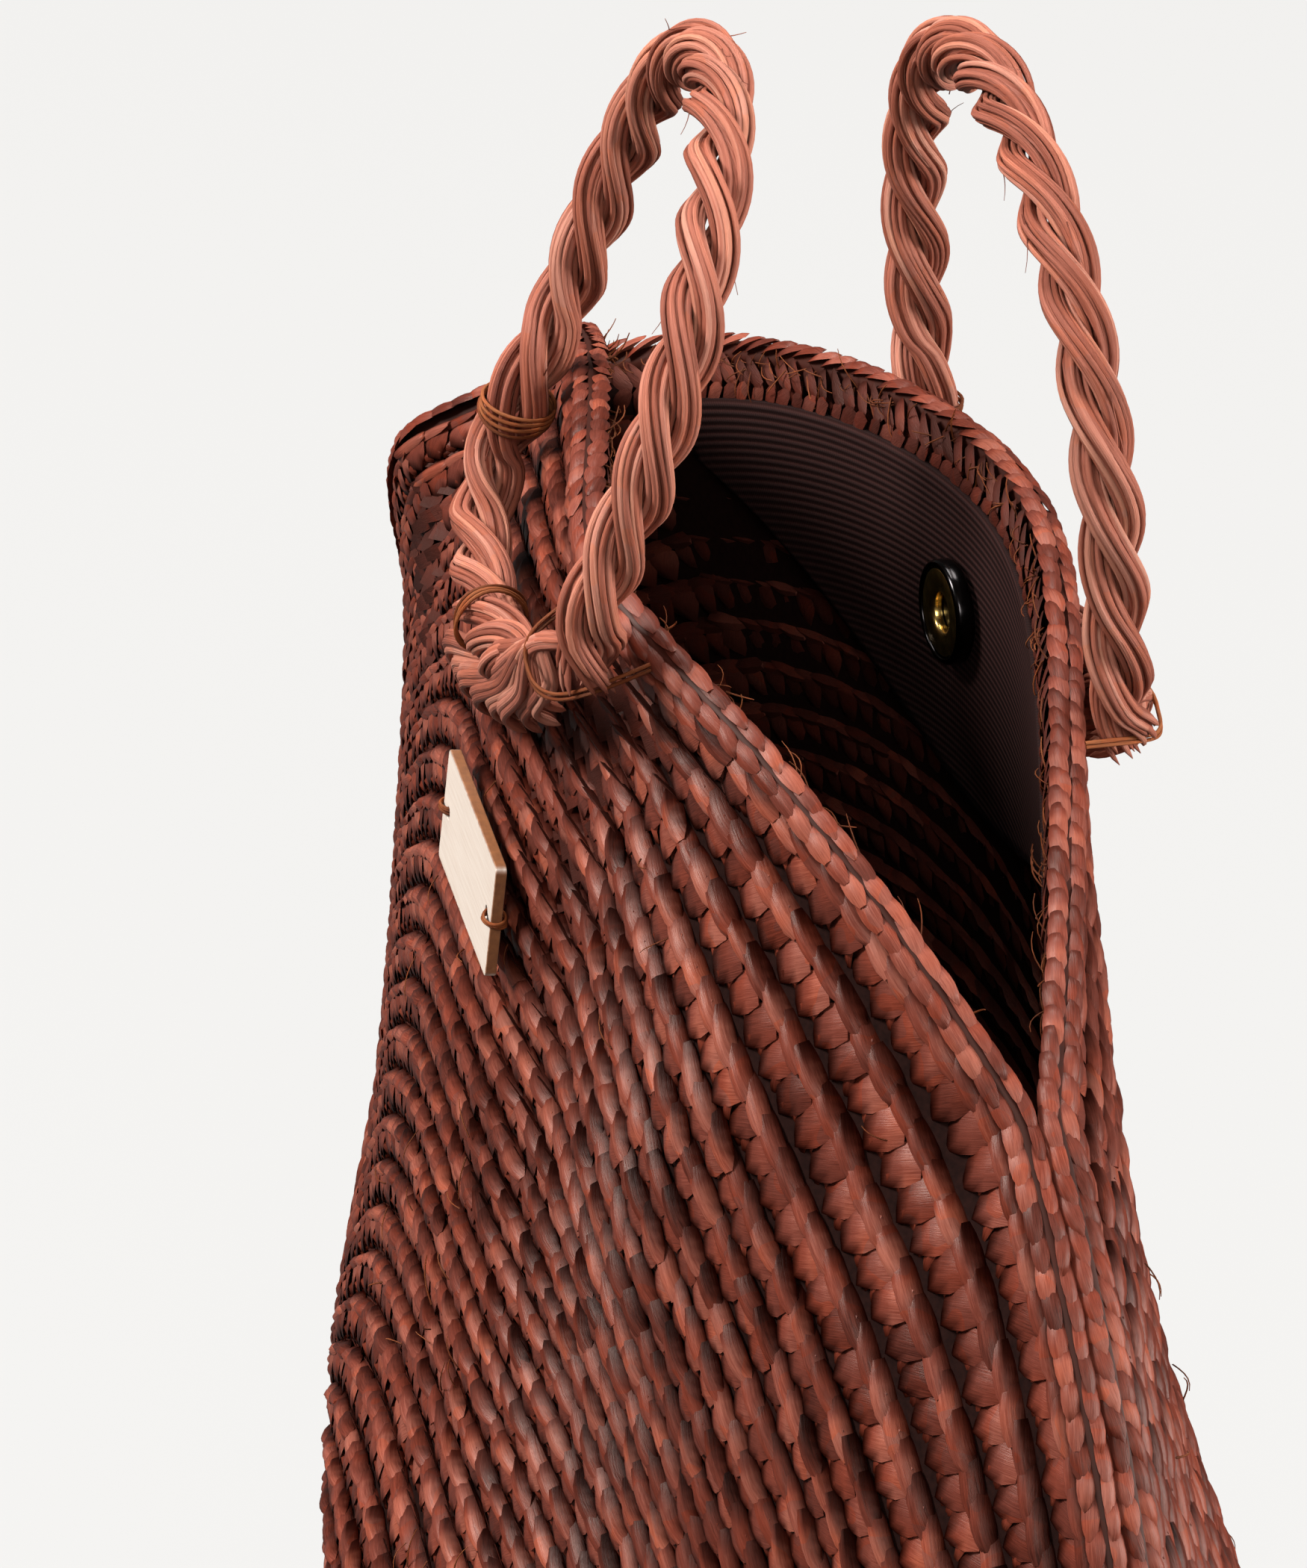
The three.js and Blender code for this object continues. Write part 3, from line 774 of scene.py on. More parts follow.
def coilRows(side, firstRow, lastRow, depth, inside):
    # round at the rim and oval about a low start, with each turn stepping inwards at the base
    radius, start, tilt = bag["discRadius"], np.array(coil["start"]), math.radians(coil["tilt"])
    lay, normal = (wallPoint, wallNormal) if inside else (laidPoint, laidNormal)
    course = np.array([math.cos(tilt), -math.sin(tilt)])
    reach = radius - start[1]
    pitch = coil["pitch"] / reach
    rows = []
    for k in range(firstRow, lastRow):
        level = coil["firstDrop"] / reach + pitch * (k + 0.5)
        if level > 1 - 0.5 * pitch:
            break
        s = np.linspace(0, 1, max(60, int(2 * math.pi * radius * (1 - level) / coil["sample"])))
        late = coil["lateTurn"] + (1 - coil["lateTurn"]) * level ** 2  # tightens into a true spiral
        level = np.minimum(level + smoothStep(1 - late, 1, s) * pitch, 1 - 0.3 * pitch)
        turn = np.radians(-180 + 360 * s)
        out = np.stack([np.sin(turn), np.cos(turn)], -1)
        inner = start + coil["half"] * course * (out @ course)[:, None]
        place = radius * out * (1 - level)[:, None] + inner * level[:, None]
        beside = place + (inner - radius * out) * pitch
        points, across = (lay(side, *spot.T, depth) for spot in (place, beside))
        along = unit(np.gradient(points, axis=0))
        across -= points
        across -= along * (across * along).sum(-1, keepdims=True)
        spread = np.clip(np.linalg.norm(across, axis=1) / coil["pitch"], *coil["spread"]) * settle(points)
        rows.append((points, normal(side, *place.T), spread))
    if lastRow > 1 / pitch - 1:  # the coil's first run fills its middle
        t = np.linspace(-1, 1, 60)[:, None]
        for shift in (-coil["startShift"], coil["startShift"]):
            line = start + coil["half"] * course * t + course[::-1] * (-1, 1) * shift * coil["pitch"]
            points = lay(side, *line.T, depth + coil["startSink"])
            rows.append((points, normal(side, *line.T), np.full(len(line), coil["startSpread"])))
    return rows


def shadeSheet(side, name):
    # near-black sheet inside the wall, put there as painted shade that shows in the grooves between the rows
    angles = np.arange(coil["coreTurns"]) * 360 / coil["coreTurns"] - 180
    shares = np.linspace(0, 1, coil["coreRings"] + 1)[1:] ** 0.9 * (1 - coil["coreEdge"] / bag["discRadius"])
    vertices, sheets = [], []
    for depth in coil["coreDepths"]:
        rings = [laidPoint(side, np.zeros(1), np.full(1, 1e-5), depth)]
        for share in shares:
            rings.append(laidPoint(side, *discPlace(angles, bag["discRadius"] * (1 - share)), depth))
        sheets.append(addRings(vertices, rings))
    return meshObject(name, vertices, chained(sheets[0] + sheets[1][::-1], side == back), groove)


def buildPanels():
    pieces, step, seed = ("upper", "lower", "leg", "legBehind"), plait["step"], plait["seed"]
    size, jitter, cells = coil["insideSize"], coil["insideJitter"], coil["insideCells"]
    for side, name in sideNames.items():
        flip = side == back
        onBag(shadeSheet(side, name + "_core"), "straw", name + "_panel")
        steps = stepCollection(name + "Steps", seed + flip, flip, pieces)
        for band, (first, last) in coil["bands"].items():
            rows, label = coilRows(side, first, last, coil["bed"], False), f"{name}_braid_{band}"
            laid = layRows(label, rows, steps, step, coil["jitter"], 1.0, coil["seed"] + side, straw)
            onBag(laid, "straw")
        steps = stepCollection(name + "InnerSteps", seed + 2 + flip, not flip, pieces[:2], cells)
        rows, label = coilRows(side, 0, coil["rows"], coil["insideBed"], True), name + "_braid_inside"
        laid = layRows(label, rows, steps, step, jitter, size, coil["insideSeed"] + side, shadedInnerStraw)
        onBag(laid, "straw")


buildPanels()
print("panels ready")


# strands swept along paths: ropes, folded ends and threads
def sweepTree():
    inputs = {
        "Paths": "Geometry", "Width": "Float", "Thickness": "Float", "Sides": "Int", "Finish": "Material",
    }
    tree, given, made = newTree("sweepStrands", "GeometryNodeTree", inputs, {"Strands": "Geometry"})
    run = addNode(tree, "GeometryNodeSplineParameter").outputs
    curve = addNode(tree, "GeometryNodeMeshToCurve", {"Mesh": given["Paths"]})
    values = {"Curve": curve, "Normal": named(tree, "outward", "FLOAT_VECTOR")}
    path = stored(addNode(tree, "GeometryNodeSetCurveNormal", values, mode="FREE"), "along", run["Length"])
    circle = addNode(tree, "GeometryNodeCurvePrimitiveCircle", {"Resolution": given["Sides"], "Radius": 0.5})
    values = {"Geometry": circle, "Scale": vector(given["Thickness"], given["Width"], 1)}
    section = stored(addNode(tree, "GeometryNodeTransform", values), "across", run["Factor"])
    skin = addNode(tree, "GeometryNodeCurveToMesh", {
        "Curve": path, "Profile Curve": section, "Scale": named(tree, "girth"), "Fill Caps": True,
    })
    around = maths("MULTIPLY", maths("PINGPONG", named(tree, "across"), 0.5), 6)  # both in millimetres
    along = maths("MULTIPLY", named(tree, "along"), 1000)
    strand = vector(around, along, named(tree, "number"))
    finishTree(stored(skin, "strand", strand, "FLOAT_VECTOR"), given, made)
    return tree


sweepStrands = sweepTree()


def sweep(name, strands, *values):
    # strands is a list of (points, outward, girth, number)
    lines, outward, girth, numbers = zip(*strands)
    numbers = [np.full(len(line), number) for line, number in zip(lines, numbers)]
    layers = {"outward": outward, "girth": girth, "number": numbers, "tone": numbers}
    labels = ("Width", "Thickness", "Sides", "Finish")
    return runNodes(name, guideMesh(name, lines, layers), sweepStrands, dict(zip(labels, values)))


def smoothPath(points, spacing):
    # spline through the points, evenly spaced
    points = np.asarray(points, float)
    knots = np.concatenate([[0], np.cumsum(np.linalg.norm(np.diff(points, axis=0), axis=1) ** 0.5)])
    slopes = np.gradient(points, knots, axis=0)
    dense = []
    for i in range(len(points) - 1):
        span = knots[i + 1] - knots[i]
        t = np.linspace(0, 1, 24, endpoint=i == len(points) - 2)[:, None]
        a, b = 2 * t ** 3 - 3 * t ** 2 + 1, t ** 3 - 2 * t ** 2 + t
        c, d = 3 * t ** 2 - 2 * t ** 3, t ** 3 - t ** 2
        dense.append(a * points[i] + b * span * slopes[i] + c * points[i + 1] + d * span * slopes[i + 1])
    dense = np.concatenate(dense)
    run = runLength(dense)
    stops = np.linspace(0, run[-1], max(3, int(run[-1] / spacing) + 1))
    return np.stack([np.interp(stops, run, dense[:, k]) for k in range(3)], -1)


def carriedFrame(path, first):
    # tangents, and two cross directions carried along the path without twist
    tangent, normal = unit(np.gradient(path, axis=0)), np.zeros_like(path)
    current = np.asarray(first, float)
    for i, t in enumerate(tangent):
        current = unit(current - t * current.dot(t))
        normal[i] = current
    return tangent, normal, np.cross(tangent, normal)


def swing(first, second, angle):
    return first * np.cos(angle)[..., None] + second * np.sin(angle)[..., None]


# handle loops: where the legs cross the rim, how they lean and arch; tails as angle and drop in millimetres
handles = {
    front: {
        "near": 14.8, "far": -10, "lean": 19.5, "leg": 23 * mm, "arch": 43.5 * mm, "lay": 38 * mm,
        "nearTail": 8.5 * mm,
        "farTail": [
            (-10.6, 8), (-12, 16), (-11.2, 23), (-8.2, 28), (-4, 30.5), (0, 30.5), (4.4, 27), (8, 20),
        ],
    },
    back: {
        "near": 16, "far": -17.5, "lean": 3, "leg": 20 * mm, "arch": 53 * mm, "lay": 41 * mm,
        "nearTail": 9.5 * mm,
        "farTail": [(-17.9, 8), (-18.6, 16), (-17.4, 23), (-14, 29), (-9, 32), (-4, 32), (2, 28), (8, 21)],
    },
    "hingeRise": 6 * mm,
    "legStart": 12 * mm,
    "archPoints": 15,
    "neckHalf": 6.5 * mm,
    "standoff": 7.05 * mm,
    "plies": 3,
    "plyCircle": 2.95 * mm,
    "tailShare": 0.25,  # the far tail narrows into the knot
    "tailLength": 16 * mm,
    "fibres": 12,
    "fibreCircle": 1.95 * mm,
    "fibreWidth": 1.15 * mm,
    "fibreThick": 0.95 * mm,
    "fibreSides": 6,
    "fibreTwist": 7.6 * mm,  # run for one radian
    "fibreTip": 2.2 * mm,
    "fibreGirth": (0.85, 1.15),
    "fibreCut": 4,  # most points left off a fibre's near end
    "waves": {  # size, and run for one radian
        "spread": (0.05, 17 * mm), "roll": (0.25, 23 * mm), "reach": (0.12, 13 * mm), "girth": (0.1, 19 * mm),
    },
    "coreGirth": 3,  # fills the ply behind its fibres
    "spacing": 1.6 * mm,
    "hairs": 11,
    "hairStart": 4.6 * mm,
    "hairReach": (5, 12),
    "hairRise": (0.8, 2.6),
    "hairGirth": (0.22, 0.1),
    "hairPoints": 6,
    "hairRoom": (12, 20),  # points at the rope's ends that have none
    "seed": 9,
}


def ropeSeat(side, angle, drop):
    return rimPoint(side, angle, drop, -handles["standoff"])


def gripFrame(side):
    shape = handles[side]
    near, far = (ropeSeat(side, shape[end], -handles["hingeRise"]) for end in ("near", "far"))
    along = unit(near - far)
    lean = math.radians(shape["lean"])
    up = np.array([0, -side * math.sin(lean), math.cos(lean)])
    return near, far, along, unit(up - along * up.dot(along))


def handlePath(side):
    # from the far tail on the outside, over the arch and down to the near tail
    shape = handles[side]
    near, far, along, up = gripFrame(side)
    middle, half = (near + far) / 2, np.linalg.norm(near - far) / 2
    points = [ropeSeat(side, angle, drop * mm) for angle, drop in reversed(shape["farTail"])]
    points += [ropeSeat(side, shape["far"], 0), far, far + up * handles["legStart"], far + up * shape["leg"]]
    for turn in np.linspace(0, math.pi, handles["archPoints"])[1:-1]:
        lift = shape["leg"] + shape["arch"] * math.sin(turn)
        points.append(middle - along * half * math.cos(turn) + up * lift)
    points += [near + up * shape["leg"], near + up * handles["legStart"], near]
    points += [ropeSeat(side, shape["near"], drop) for drop in (0, shape["nearTail"])]
    return smoothPath(points, handles["spacing"])


def wave(run, key, phase):
    size, length = handles["waves"][key]
    return size * np.sin(run / length + phase)


def plyStrands(ply, lay, path, normal, cross, rng):
    run = runLength(path)
    turn = 2 * math.pi * (ply / handles["plies"] - run / lay)
    squeeze = handles["tailShare"] + (1 - handles["tailShare"]) * smoothStep(0, handles["tailLength"], run)
    spread = (1 + wave(run, "spread", ply * 2)) * squeeze
    radial, aside = swing(normal, cross, turn), swing(cross, -normal, turn)
    core = path + radial * (handles["plyCircle"] * spread)[:, None]
    strands = []
    for k in range(handles["fibres"]):
        phase = 2 * math.pi * (k + 0.3 * rng.random()) / handles["fibres"]
        roll = phase + run / handles["fibreTwist"] + wave(run, "roll", rng.random() * 6)
        out = swing(radial, aside, roll)
        reach = handles["fibreCircle"] * (1 + wave(run, "reach", rng.random() * 6))
        line = core + out * (reach * squeeze)[:, None]
        girth = rng.uniform(*handles["fibreGirth"]) * (1 + wave(run, "girth", rng.random() * 6))
        stop = len(run) - rng.randint(0, handles["fibreCut"])
        left = np.minimum(run, run[stop - 1] - run)
        girth = girth * np.sqrt(np.clip(left / handles["fibreTip"], 0.02, 1))
        strands.append((line[:stop], out[:stop], girth[:stop], rng.random()))
    strands.append((core[:-3], radial[:-3], handles["coreGirth"] * squeeze[:-3], 0.1))
    return strands


def buildHandle(side, name):
    rng = random.Random(handles["seed"] + side)
    path = handlePath(side)
    tangent, normal, cross = carriedFrame(path, (0, side, 0))
    strands = []
    for ply in range(handles["plies"]):
        strands += plyStrands(ply, handles[side]["lay"], path, normal, cross, rng)
    count, (first, last) = handles["hairPoints"], handles["hairRoom"]
    s, girth = np.linspace(0, 1, count)[:, None], np.linspace(*handles["hairGirth"], count)
    for _ in range(handles["hairs"]):
        i = rng.randint(first, len(path) - last)
        out = swing(normal[i], cross[i], np.float64(rng.uniform(0, 2 * math.pi)))
        reach, rise = (rng.uniform(*handles[key]) * mm for key in ("hairReach", "hairRise"))
        line = path[i] + out * (handles["hairStart"] + rise * s * s) + tangent[i] * reach * s
        strands.append((line, np.tile(out, (count, 1)), girth, rng.random()))
    width, thick, sides = (handles[key] for key in ("fibreWidth", "fibreThick", "fibreSides"))
    item = sweep(name + "_rope", strands, width, thick, sides, rope)
    plies = [f"{name}_ply_{i}" for i in (1, 2, 3)]
    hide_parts(*plies, f"{name}_near_neck", f"{name}_far_neck", f"{name}_bight")
    near, far, _, up = gripFrame(side)
    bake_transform(item)


# fan of folded strand ends and the threads that hold them, as angle, drop and outward rise in millimetres
ends = {
    "start": (13.2, 4, 6.5),
    "knot": (11.3, 9, 9.5),
    "middles": [
        (1.3, 31.3), (2.4, 31.8), (4, 30.5), (5.9, 28.4), (7.6, 25.8), (9.1, 22.9), (10.4, 19.8),
        (11.4, 16.5), (12.3, 12.7),
    ],
    "tips": [
        (-20.4, 50.8), (-15.8, 51.6), (-9.9, 49.6), (-5.3, 48.1), (-1.3, 45.5), (2.5, 41.5), (5.4, 37.1),
        (7.9, 31.5), (9.3, 26.2),
    ],
    "knotFan": (0.6, -2.5, 1.2),  # how far the knot's strands spread
    "middleRise": (7.6, 9.2),
    "tipRise": (1.8, 3.2),
    "foldShare": 0.72,
    "width": 4.2 * mm,
    "thick": 1.5 * mm,
    "tipLength": 0.07,
    "lanes": (-0.9, 0, 0.9),
    "laneWidth": 0.44,
    "laneShift": 0.36,
    "laneSink": 0.35 * mm,
    "spacing": 1.5 * mm,
    "lowTie": (-2, 30.4),
    "lowTurns": 3,
    "lowSlant": 1.6 * mm,
    "farDrop": 8.8 * mm,
    "farTurns": 4,
    "farSlant": 0.9 * mm,
    "nearThread": [
        (11.2, 3, 4), (11.3, 6.9, 10), (11.5, 9.6, 11.5), (12.2, 11.2, 12), (13.1, 11.2, 12.2),
        (14.2, 9.6, 11.5), (15.4, 6, 9), (16.2, 3, 5), (16.7, 1, 1),
    ],
    "threadWidth": 0.66 * mm,
    "threadThick": 0.6 * mm,
    "threadSpacing": 1.2 * mm,
    "turnRadius": 5.75 * mm,
    "turnSpacing": 0.95 * mm,
    "seed": 31,
}


def discPath(side, stops, spacing):
    return smoothPath([rimPoint(side, angle, drop * mm, -rise * mm) for angle, drop, rise in stops], spacing)


def threadTurns(path, place, count, slant, rng):
    # turns of thread close round the rope where its path passes the place
    _, normal, cross = carriedFrame(path, (0, 1, 0))
    i = int(np.argmin(np.linalg.norm(path - place, axis=1)))
    course = unit(path[i + 1] - path[i - 1])
    around = np.linspace(0, 2 * math.pi, 33)
    turns = []
    for k in range(count):
        radius = ends["turnRadius"] + 0.2 * mm * np.sin(3 * around + k)
        shift = slant * np.sin(around + 0.5 + 0.25 * k) + (k - (count - 1) / 2) * ends["turnSpacing"]
        out = swing(normal[i], cross[i], around) * radius[:, None] + course * shift[:, None]
        turns.append((path[i] + out, unit(out), np.ones(len(out)), rng.random()))
    return turns


def fanStrands(side, moved, rng):
    strands = []
    for i, (middle, tip) in enumerate(zip(ends["middles"], ends["tips"])):
        t = i / (len(ends["tips"]) - 1)
        shares = (t, t, math.sin(3.1 * t))
        knot = [at + fan * share for at, fan, share in zip(ends["knot"], ends["knotFan"], shares)]
        rise, tipRise = rng.uniform(*ends["middleRise"]), rng.uniform(*ends["tipRise"])
        fold = [a + (b - a) * ends["foldShare"] for a, b in zip(middle, tip)]
        stops = [ends["start"], knot, (*middle, rise + 0.6), (*fold, rise - 1.2), (*tip, tipRise)]
        path = discPath(side, [(a + moved, d, h) for a, d, h in stops], ends["spacing"])
        _, normal, cross = carriedFrame(path, (0, side, 0.2))
        run = np.linspace(0, 1, len(path))
        girth = 0.55 + 0.45 * np.sin(np.clip(run * 1.9, 0, 1.57))
        girth *= np.sqrt(np.clip((1 - run) / ends["tipLength"], 0.03, 1))
        for lane in ends["lanes"]:
            shift = lane * ends["width"] * ends["laneShift"] * (0.45 + 0.55 * run)
            line = path + cross * shift[:, None] - normal * (abs(lane) * ends["laneSink"])
            strands.append((line, normal, girth * rng.uniform(0.9, 1.1), (i * 0.37 + lane * 0.11) % 1))
    return strands


def buildEnds(side, name):
    rng, shape = random.Random(ends["seed"] + side), handles[side]
    moved = shape["near"] - handles[front]["near"]  # the hidden back fan is the front one at its own near leg
    strands = fanStrands(side, moved, rng)
    onBag(sweep(name + "_fan", strands, ends["width"] * ends["laneWidth"], ends["thick"], 8, rope), "rope")
    threads = []
    for k in range(2):
        stops = [(a + moved + 0.1 * k, d + 0.75 * k - 0.4, h) for a, d, h in ends["nearThread"]]
        path = discPath(side, stops, ends["threadSpacing"])
        _, normal, _ = carriedFrame(path, (0.2, side, 0.1))
        threads.append((path, normal, np.ones(len(path)), rng.random()))
    path, (angle, drop) = handlePath(side), ends["lowTie"]
    low = ropeSeat(side, angle + shape["far"] - handles[front]["far"], drop * mm)
    threads += threadTurns(path, low, ends["lowTurns"], ends["lowSlant"], rng)
    far = ropeSeat(side, shape["far"], ends["farDrop"])
    threads += threadTurns(path, far, ends["farTurns"], ends["farSlant"], rng)
    ties = sweep(name + "_ties", threads, ends["threadWidth"], ends["threadThick"], 6, threadPaint)
    onBag(ties, "thread", f"{name}_far_tie", f"{name}_low_tie", f"{name}_near_tie")


for side in (front, back):
    buildHandle(side, sideNames[side] + "_handle")
    buildEnds(side, sideNames[side] + "_handle")
print("handles ready")

# rim: two ridges of lens scales on a filling in painted-shade straw, and the inner facing braid, as drop,
# depth and upward lean
rim = {
    "ridges": ((0.9 * mm, 0.3 * mm, 0.45), (-0.7 * mm, 2.7 * mm, 0.95)),
    "ridgeSamples": 600,
    "ridgeStep": 4.5 * mm,
    "ridgeJitter": 0.07,
    "ridgeSize": 0.9,
    "ridgeSeeds": (40, 51),  # for the steps and for how they are laid
    "braid": (5.4 * mm, 5.3 * mm, 0.12),
    "braidRoom": 7 * mm,
    "braidSamples": 260,
    "braidStep": 4.0 * mm,
    "braidJitter": 0.08,
    "braidSeeds": (60, 71),
    "fillTurns": 480,
    "fillDrops": (-0.6, 3.4),  # in millimetres, as the depths are
    "fillOuter": 0.9,
    "fillInner": (3.2, 4.7),  # in the mouth, and past it where the two discs meet
    "fillFoot": 4.4,
}


def rimRow(side, angles, drop, depth, lean, inside=False):
    points = rimPoint(side, angles, drop, depth)
    radial = unit(rimPoint(side, angles, drop - 1 * mm, depth) - points)
    face = wallNormal(side, *discPlace(angles, drop)) * (1 if inside else -1)
    return points, unit(radial * lean + face * (1 - lean)), settle(points)


def openAngles(side, room):
    # mouth's share where the rim stands off the seam by more than the given room
    angles = np.linspace(-bag["mouthHalfAngle"], bag["mouthHalfAngle"], 1601)
    wide = angles[mouthOpening(side, angles / bag["mouthHalfAngle"]) > room]
    return wide[0], wide[-1]


def rimFilling(side, name):
    angles = np.arange(rim["fillTurns"]) * 360 / rim["fillTurns"] - 180
    inner = np.where(abs(angles) < bag["mouthHalfAngle"], *rim["fillInner"])
    (high, low), outer = rim["fillDrops"], rim["fillOuter"]
    section = [(high, outer), (high, inner), (low, np.maximum(inner, rim["fillFoot"])), (low, outer)]
    vertices = []
    rings = addRings(vertices, [rimPoint(side, angles, drop * mm, depth * mm) for drop, depth in section])
    return meshObject(name, vertices, chained(rings + rings[:1], side == back), shadedInnerStraw)


def buildRims():
    around = np.linspace(-180, 180, rim["ridgeSamples"])
    for side, name in sideNames.items():
        flip = side == back
        made, laid = (seed + side for seed in rim["ridgeSeeds"])
        steps = stepCollection(name + "Ridge", made, flip, ("ridge",))
        rows = [rimRow(side, around, *row) for row in rim["ridges"]]
        length, jitter, size = rim["ridgeStep"], rim["ridgeJitter"], rim["ridgeSize"]
        edge = layRows(name + "_rim_ridges", rows, steps, length, jitter, size, laid, straw)
        onBag(edge, "straw", *(["seam_cord"] if side == front else []))
        onBag(rimFilling(side, name + "_rim_filling"), "straw")
        made, laid = (seed + side for seed in rim["braidSeeds"])
        steps = stepCollection(name + "Facing", made, not flip, ("facingHigh", "facingLow"))
        angles = np.linspace(*openAngles(side, rim["braidRoom"]), rim["braidSamples"])
        length, jitter = rim["braidStep"], rim["braidJitter"]
        rows = [rimRow(side, angles, *rim["braid"], inside=True)]
        braid = layRows(name + "_facing_braid", rows, steps, length, jitter, 1.0, laid, shadedInnerStraw)
        onBag(braid, "straw", name + "_rim_braid")


buildRims()
print("rims ready")

# frayed straw: short fibres along the inner rims and a few loose ones on the outer rows, in millimetres
fray = {
    "rimCount": 150, "rimDrop": (0.4, 3.2), "rimDepth": (0.2, 1.6), "rimReach": (2.5, 7),
    "rimRise": (0.3, 2.2), "rowCount": 45, "rowAngle": (-75, 75), "rowDrop": (12, 210), "rowReach": (3.5, 8),
    "rowRise": (0.6, 2), "rowDepth": -0.9, "room": 5 * mm, "width": 0.32 * mm, "seed": 77,
    "points": 6, "bow": 0.35, "girth": (0.7, 1.3), "tipGirth": 0.45,
}


def frayFibre(base, lead, out, reach, rise, rng):
    count = fray["points"]
    s = np.linspace(0, 1, count)[:, None]
    bow = np.cross(lead, out) * rng.uniform(-fray["bow"], fray["bow"])
    line = base + (lead * s + bow * s * s) * reach * mm + out * (rise * mm * np.sin(2.2 * s))
    girth = np.linspace(1, fray["tipGirth"], count) * rng.uniform(*fray["girth"])
    return line, np.tile(out, (count, 1)), girth, rng.random()


def rimFray(side, low, high, rng):
    angle, wall = rng.uniform(low, high), bag["wall"]
    drop, depth = (rng.uniform(*fray[key]) * mm for key in ("rimDrop", "rimDepth"))
    base = rimPoint(side, angle, drop, wall + depth)
    up = rimPoint(side, angle, -2 * mm, wall) - rimPoint(side, angle, 2 * mm, wall)
    along = rimPoint(side, angle + 0.5, 0, wall) - rimPoint(side, angle, 0, wall)
    lead = unit(unit(along) * rng.uniform(-1, 1) + unit(up) * rng.uniform(-0.9, 0.5))
    inwards = wallNormal(side, *discPlace(angle, 2 * mm))
    return frayFibre(base, lead, inwards, rng.uniform(*fray["rimReach"]), rng.uniform(*fray["rimRise"]), rng)


def rowFray(side, rng):
    angle, drop = rng.uniform(*fray["rowAngle"]), rng.uniform(*fray["rowDrop"]) * mm
    place = discPlace(angle, drop)
    base, out = laidPoint(side, *place, fray["rowDepth"] * mm), laidNormal(side, *place)
    lead = unit(np.cross(out, [rng.uniform(-1, 1), 0.2, rng.uniform(-1, 1)]))
    return frayFibre(base, lead, out, rng.uniform(*fray["rowReach"]), rng.uniform(*fray["rowRise"]), rng)


def buildFrays():
    for side, name in sideNames.items():
        rng = random.Random(fray["seed"] + side)
        low, high = openAngles(side, fray["room"])
        strands = [rimFray(side, low, high, rng) for _ in range(fray["rimCount"])]
        strands += [rowFray(side, rng) for _ in range(fray["rowCount"])]
        onBag(sweep(name + "_frays", strands, fray["width"], fray["width"], 4, threadPaint), "straw")


buildFrays()
print("frays ready")

# cloth facing: a dark crescent with fine ribs along the rim
facing = {
    "depth": 58 * mm, "endDepth": 10 * mm, "start": 5.7 * mm, "thick": 1.2 * mm, "top": 8 * mm,
    "room": 14 * mm, "cells": (90, 24), "ribs": 4.6, "warp": 9.0, "warpShare": 0.35,
    "dark": (0.006, 0.0014, 0.001), "light": (0.024, 0.007, 0.0054), "contrast": 0.4,
    "bump": 0.5, "bumpDistance": 0.0004, "roughness": 0.8, "specular": 0.1,
    "perDegree": 3.49,  # millimetres along the rim
}


def clothMaterial():
    material, tree = newMaterial("facingCloth")
    parts = parted(attribute(tree, "strand", "Vector"))
    rib = maths("SINE", maths("MULTIPLY", parts[0], facing["ribs"]))
    warp = maths("SINE", maths("MULTIPLY", parts[1], facing["warp"]))
    height = maths("MULTIPLY_ADD", warp, facing["warpShare"], rib)
    # painted shade: the cloth is darker in the rib hollows and lighter on the rib tops, following the relief
    ribShading = maths("MULTIPLY_ADD", height, facing["contrast"], 0.5)
    shadeWith(
        tree, BaseColor=mixed(ribShading, facing["dark"], facing["light"]), Roughness=facing["roughness"],
        Normal=relief(height, facing["bump"], facing["bumpDistance"], sunk=True),
        SpecularIORLevel=facing["specular"],
    )
    return material


def buildFacings():
    cloth = clothMaterial()
    across, down = facing["cells"]
    depths = (facing["start"], facing["start"] + facing["thick"])
    for side, name in sideNames.items():
        low, high = openAngles(side, facing["room"])
        rings, strand = [], []
        for t in np.arange(across + 1) / across:
            fall = facing["endDepth"] + (facing["depth"] - facing["endDepth"]) * math.sin(math.pi * t)
            angle = low + (high - low) * t
            drop = facing["top"] + fall * np.linspace(0, 1, down + 1)
            outer, inner = (rimPoint(side, angle, drop, depth) for depth in depths)
            rings.append(np.concatenate([outer, inner[::-1]]))
            strand += [(d / mm, facing["perDegree"] * angle, 0.5) for d in (*drop, *drop[::-1])]
        vertices = []
        numbers = addRings(vertices, rings)
        faces = chained(numbers, side == back)
        for end in (numbers[0][::side], numbers[-1][::-side]):
            faces += [(end[j], end[j + 1], end[-j - 2], end[-j - 1]) for j in range(down)]
        item = meshObject(name + "_facing", vertices, faces, cloth, strand)
        onBag(item, "cloth", name + "_facing_cloth")


buildFacings()
print("facings ready")

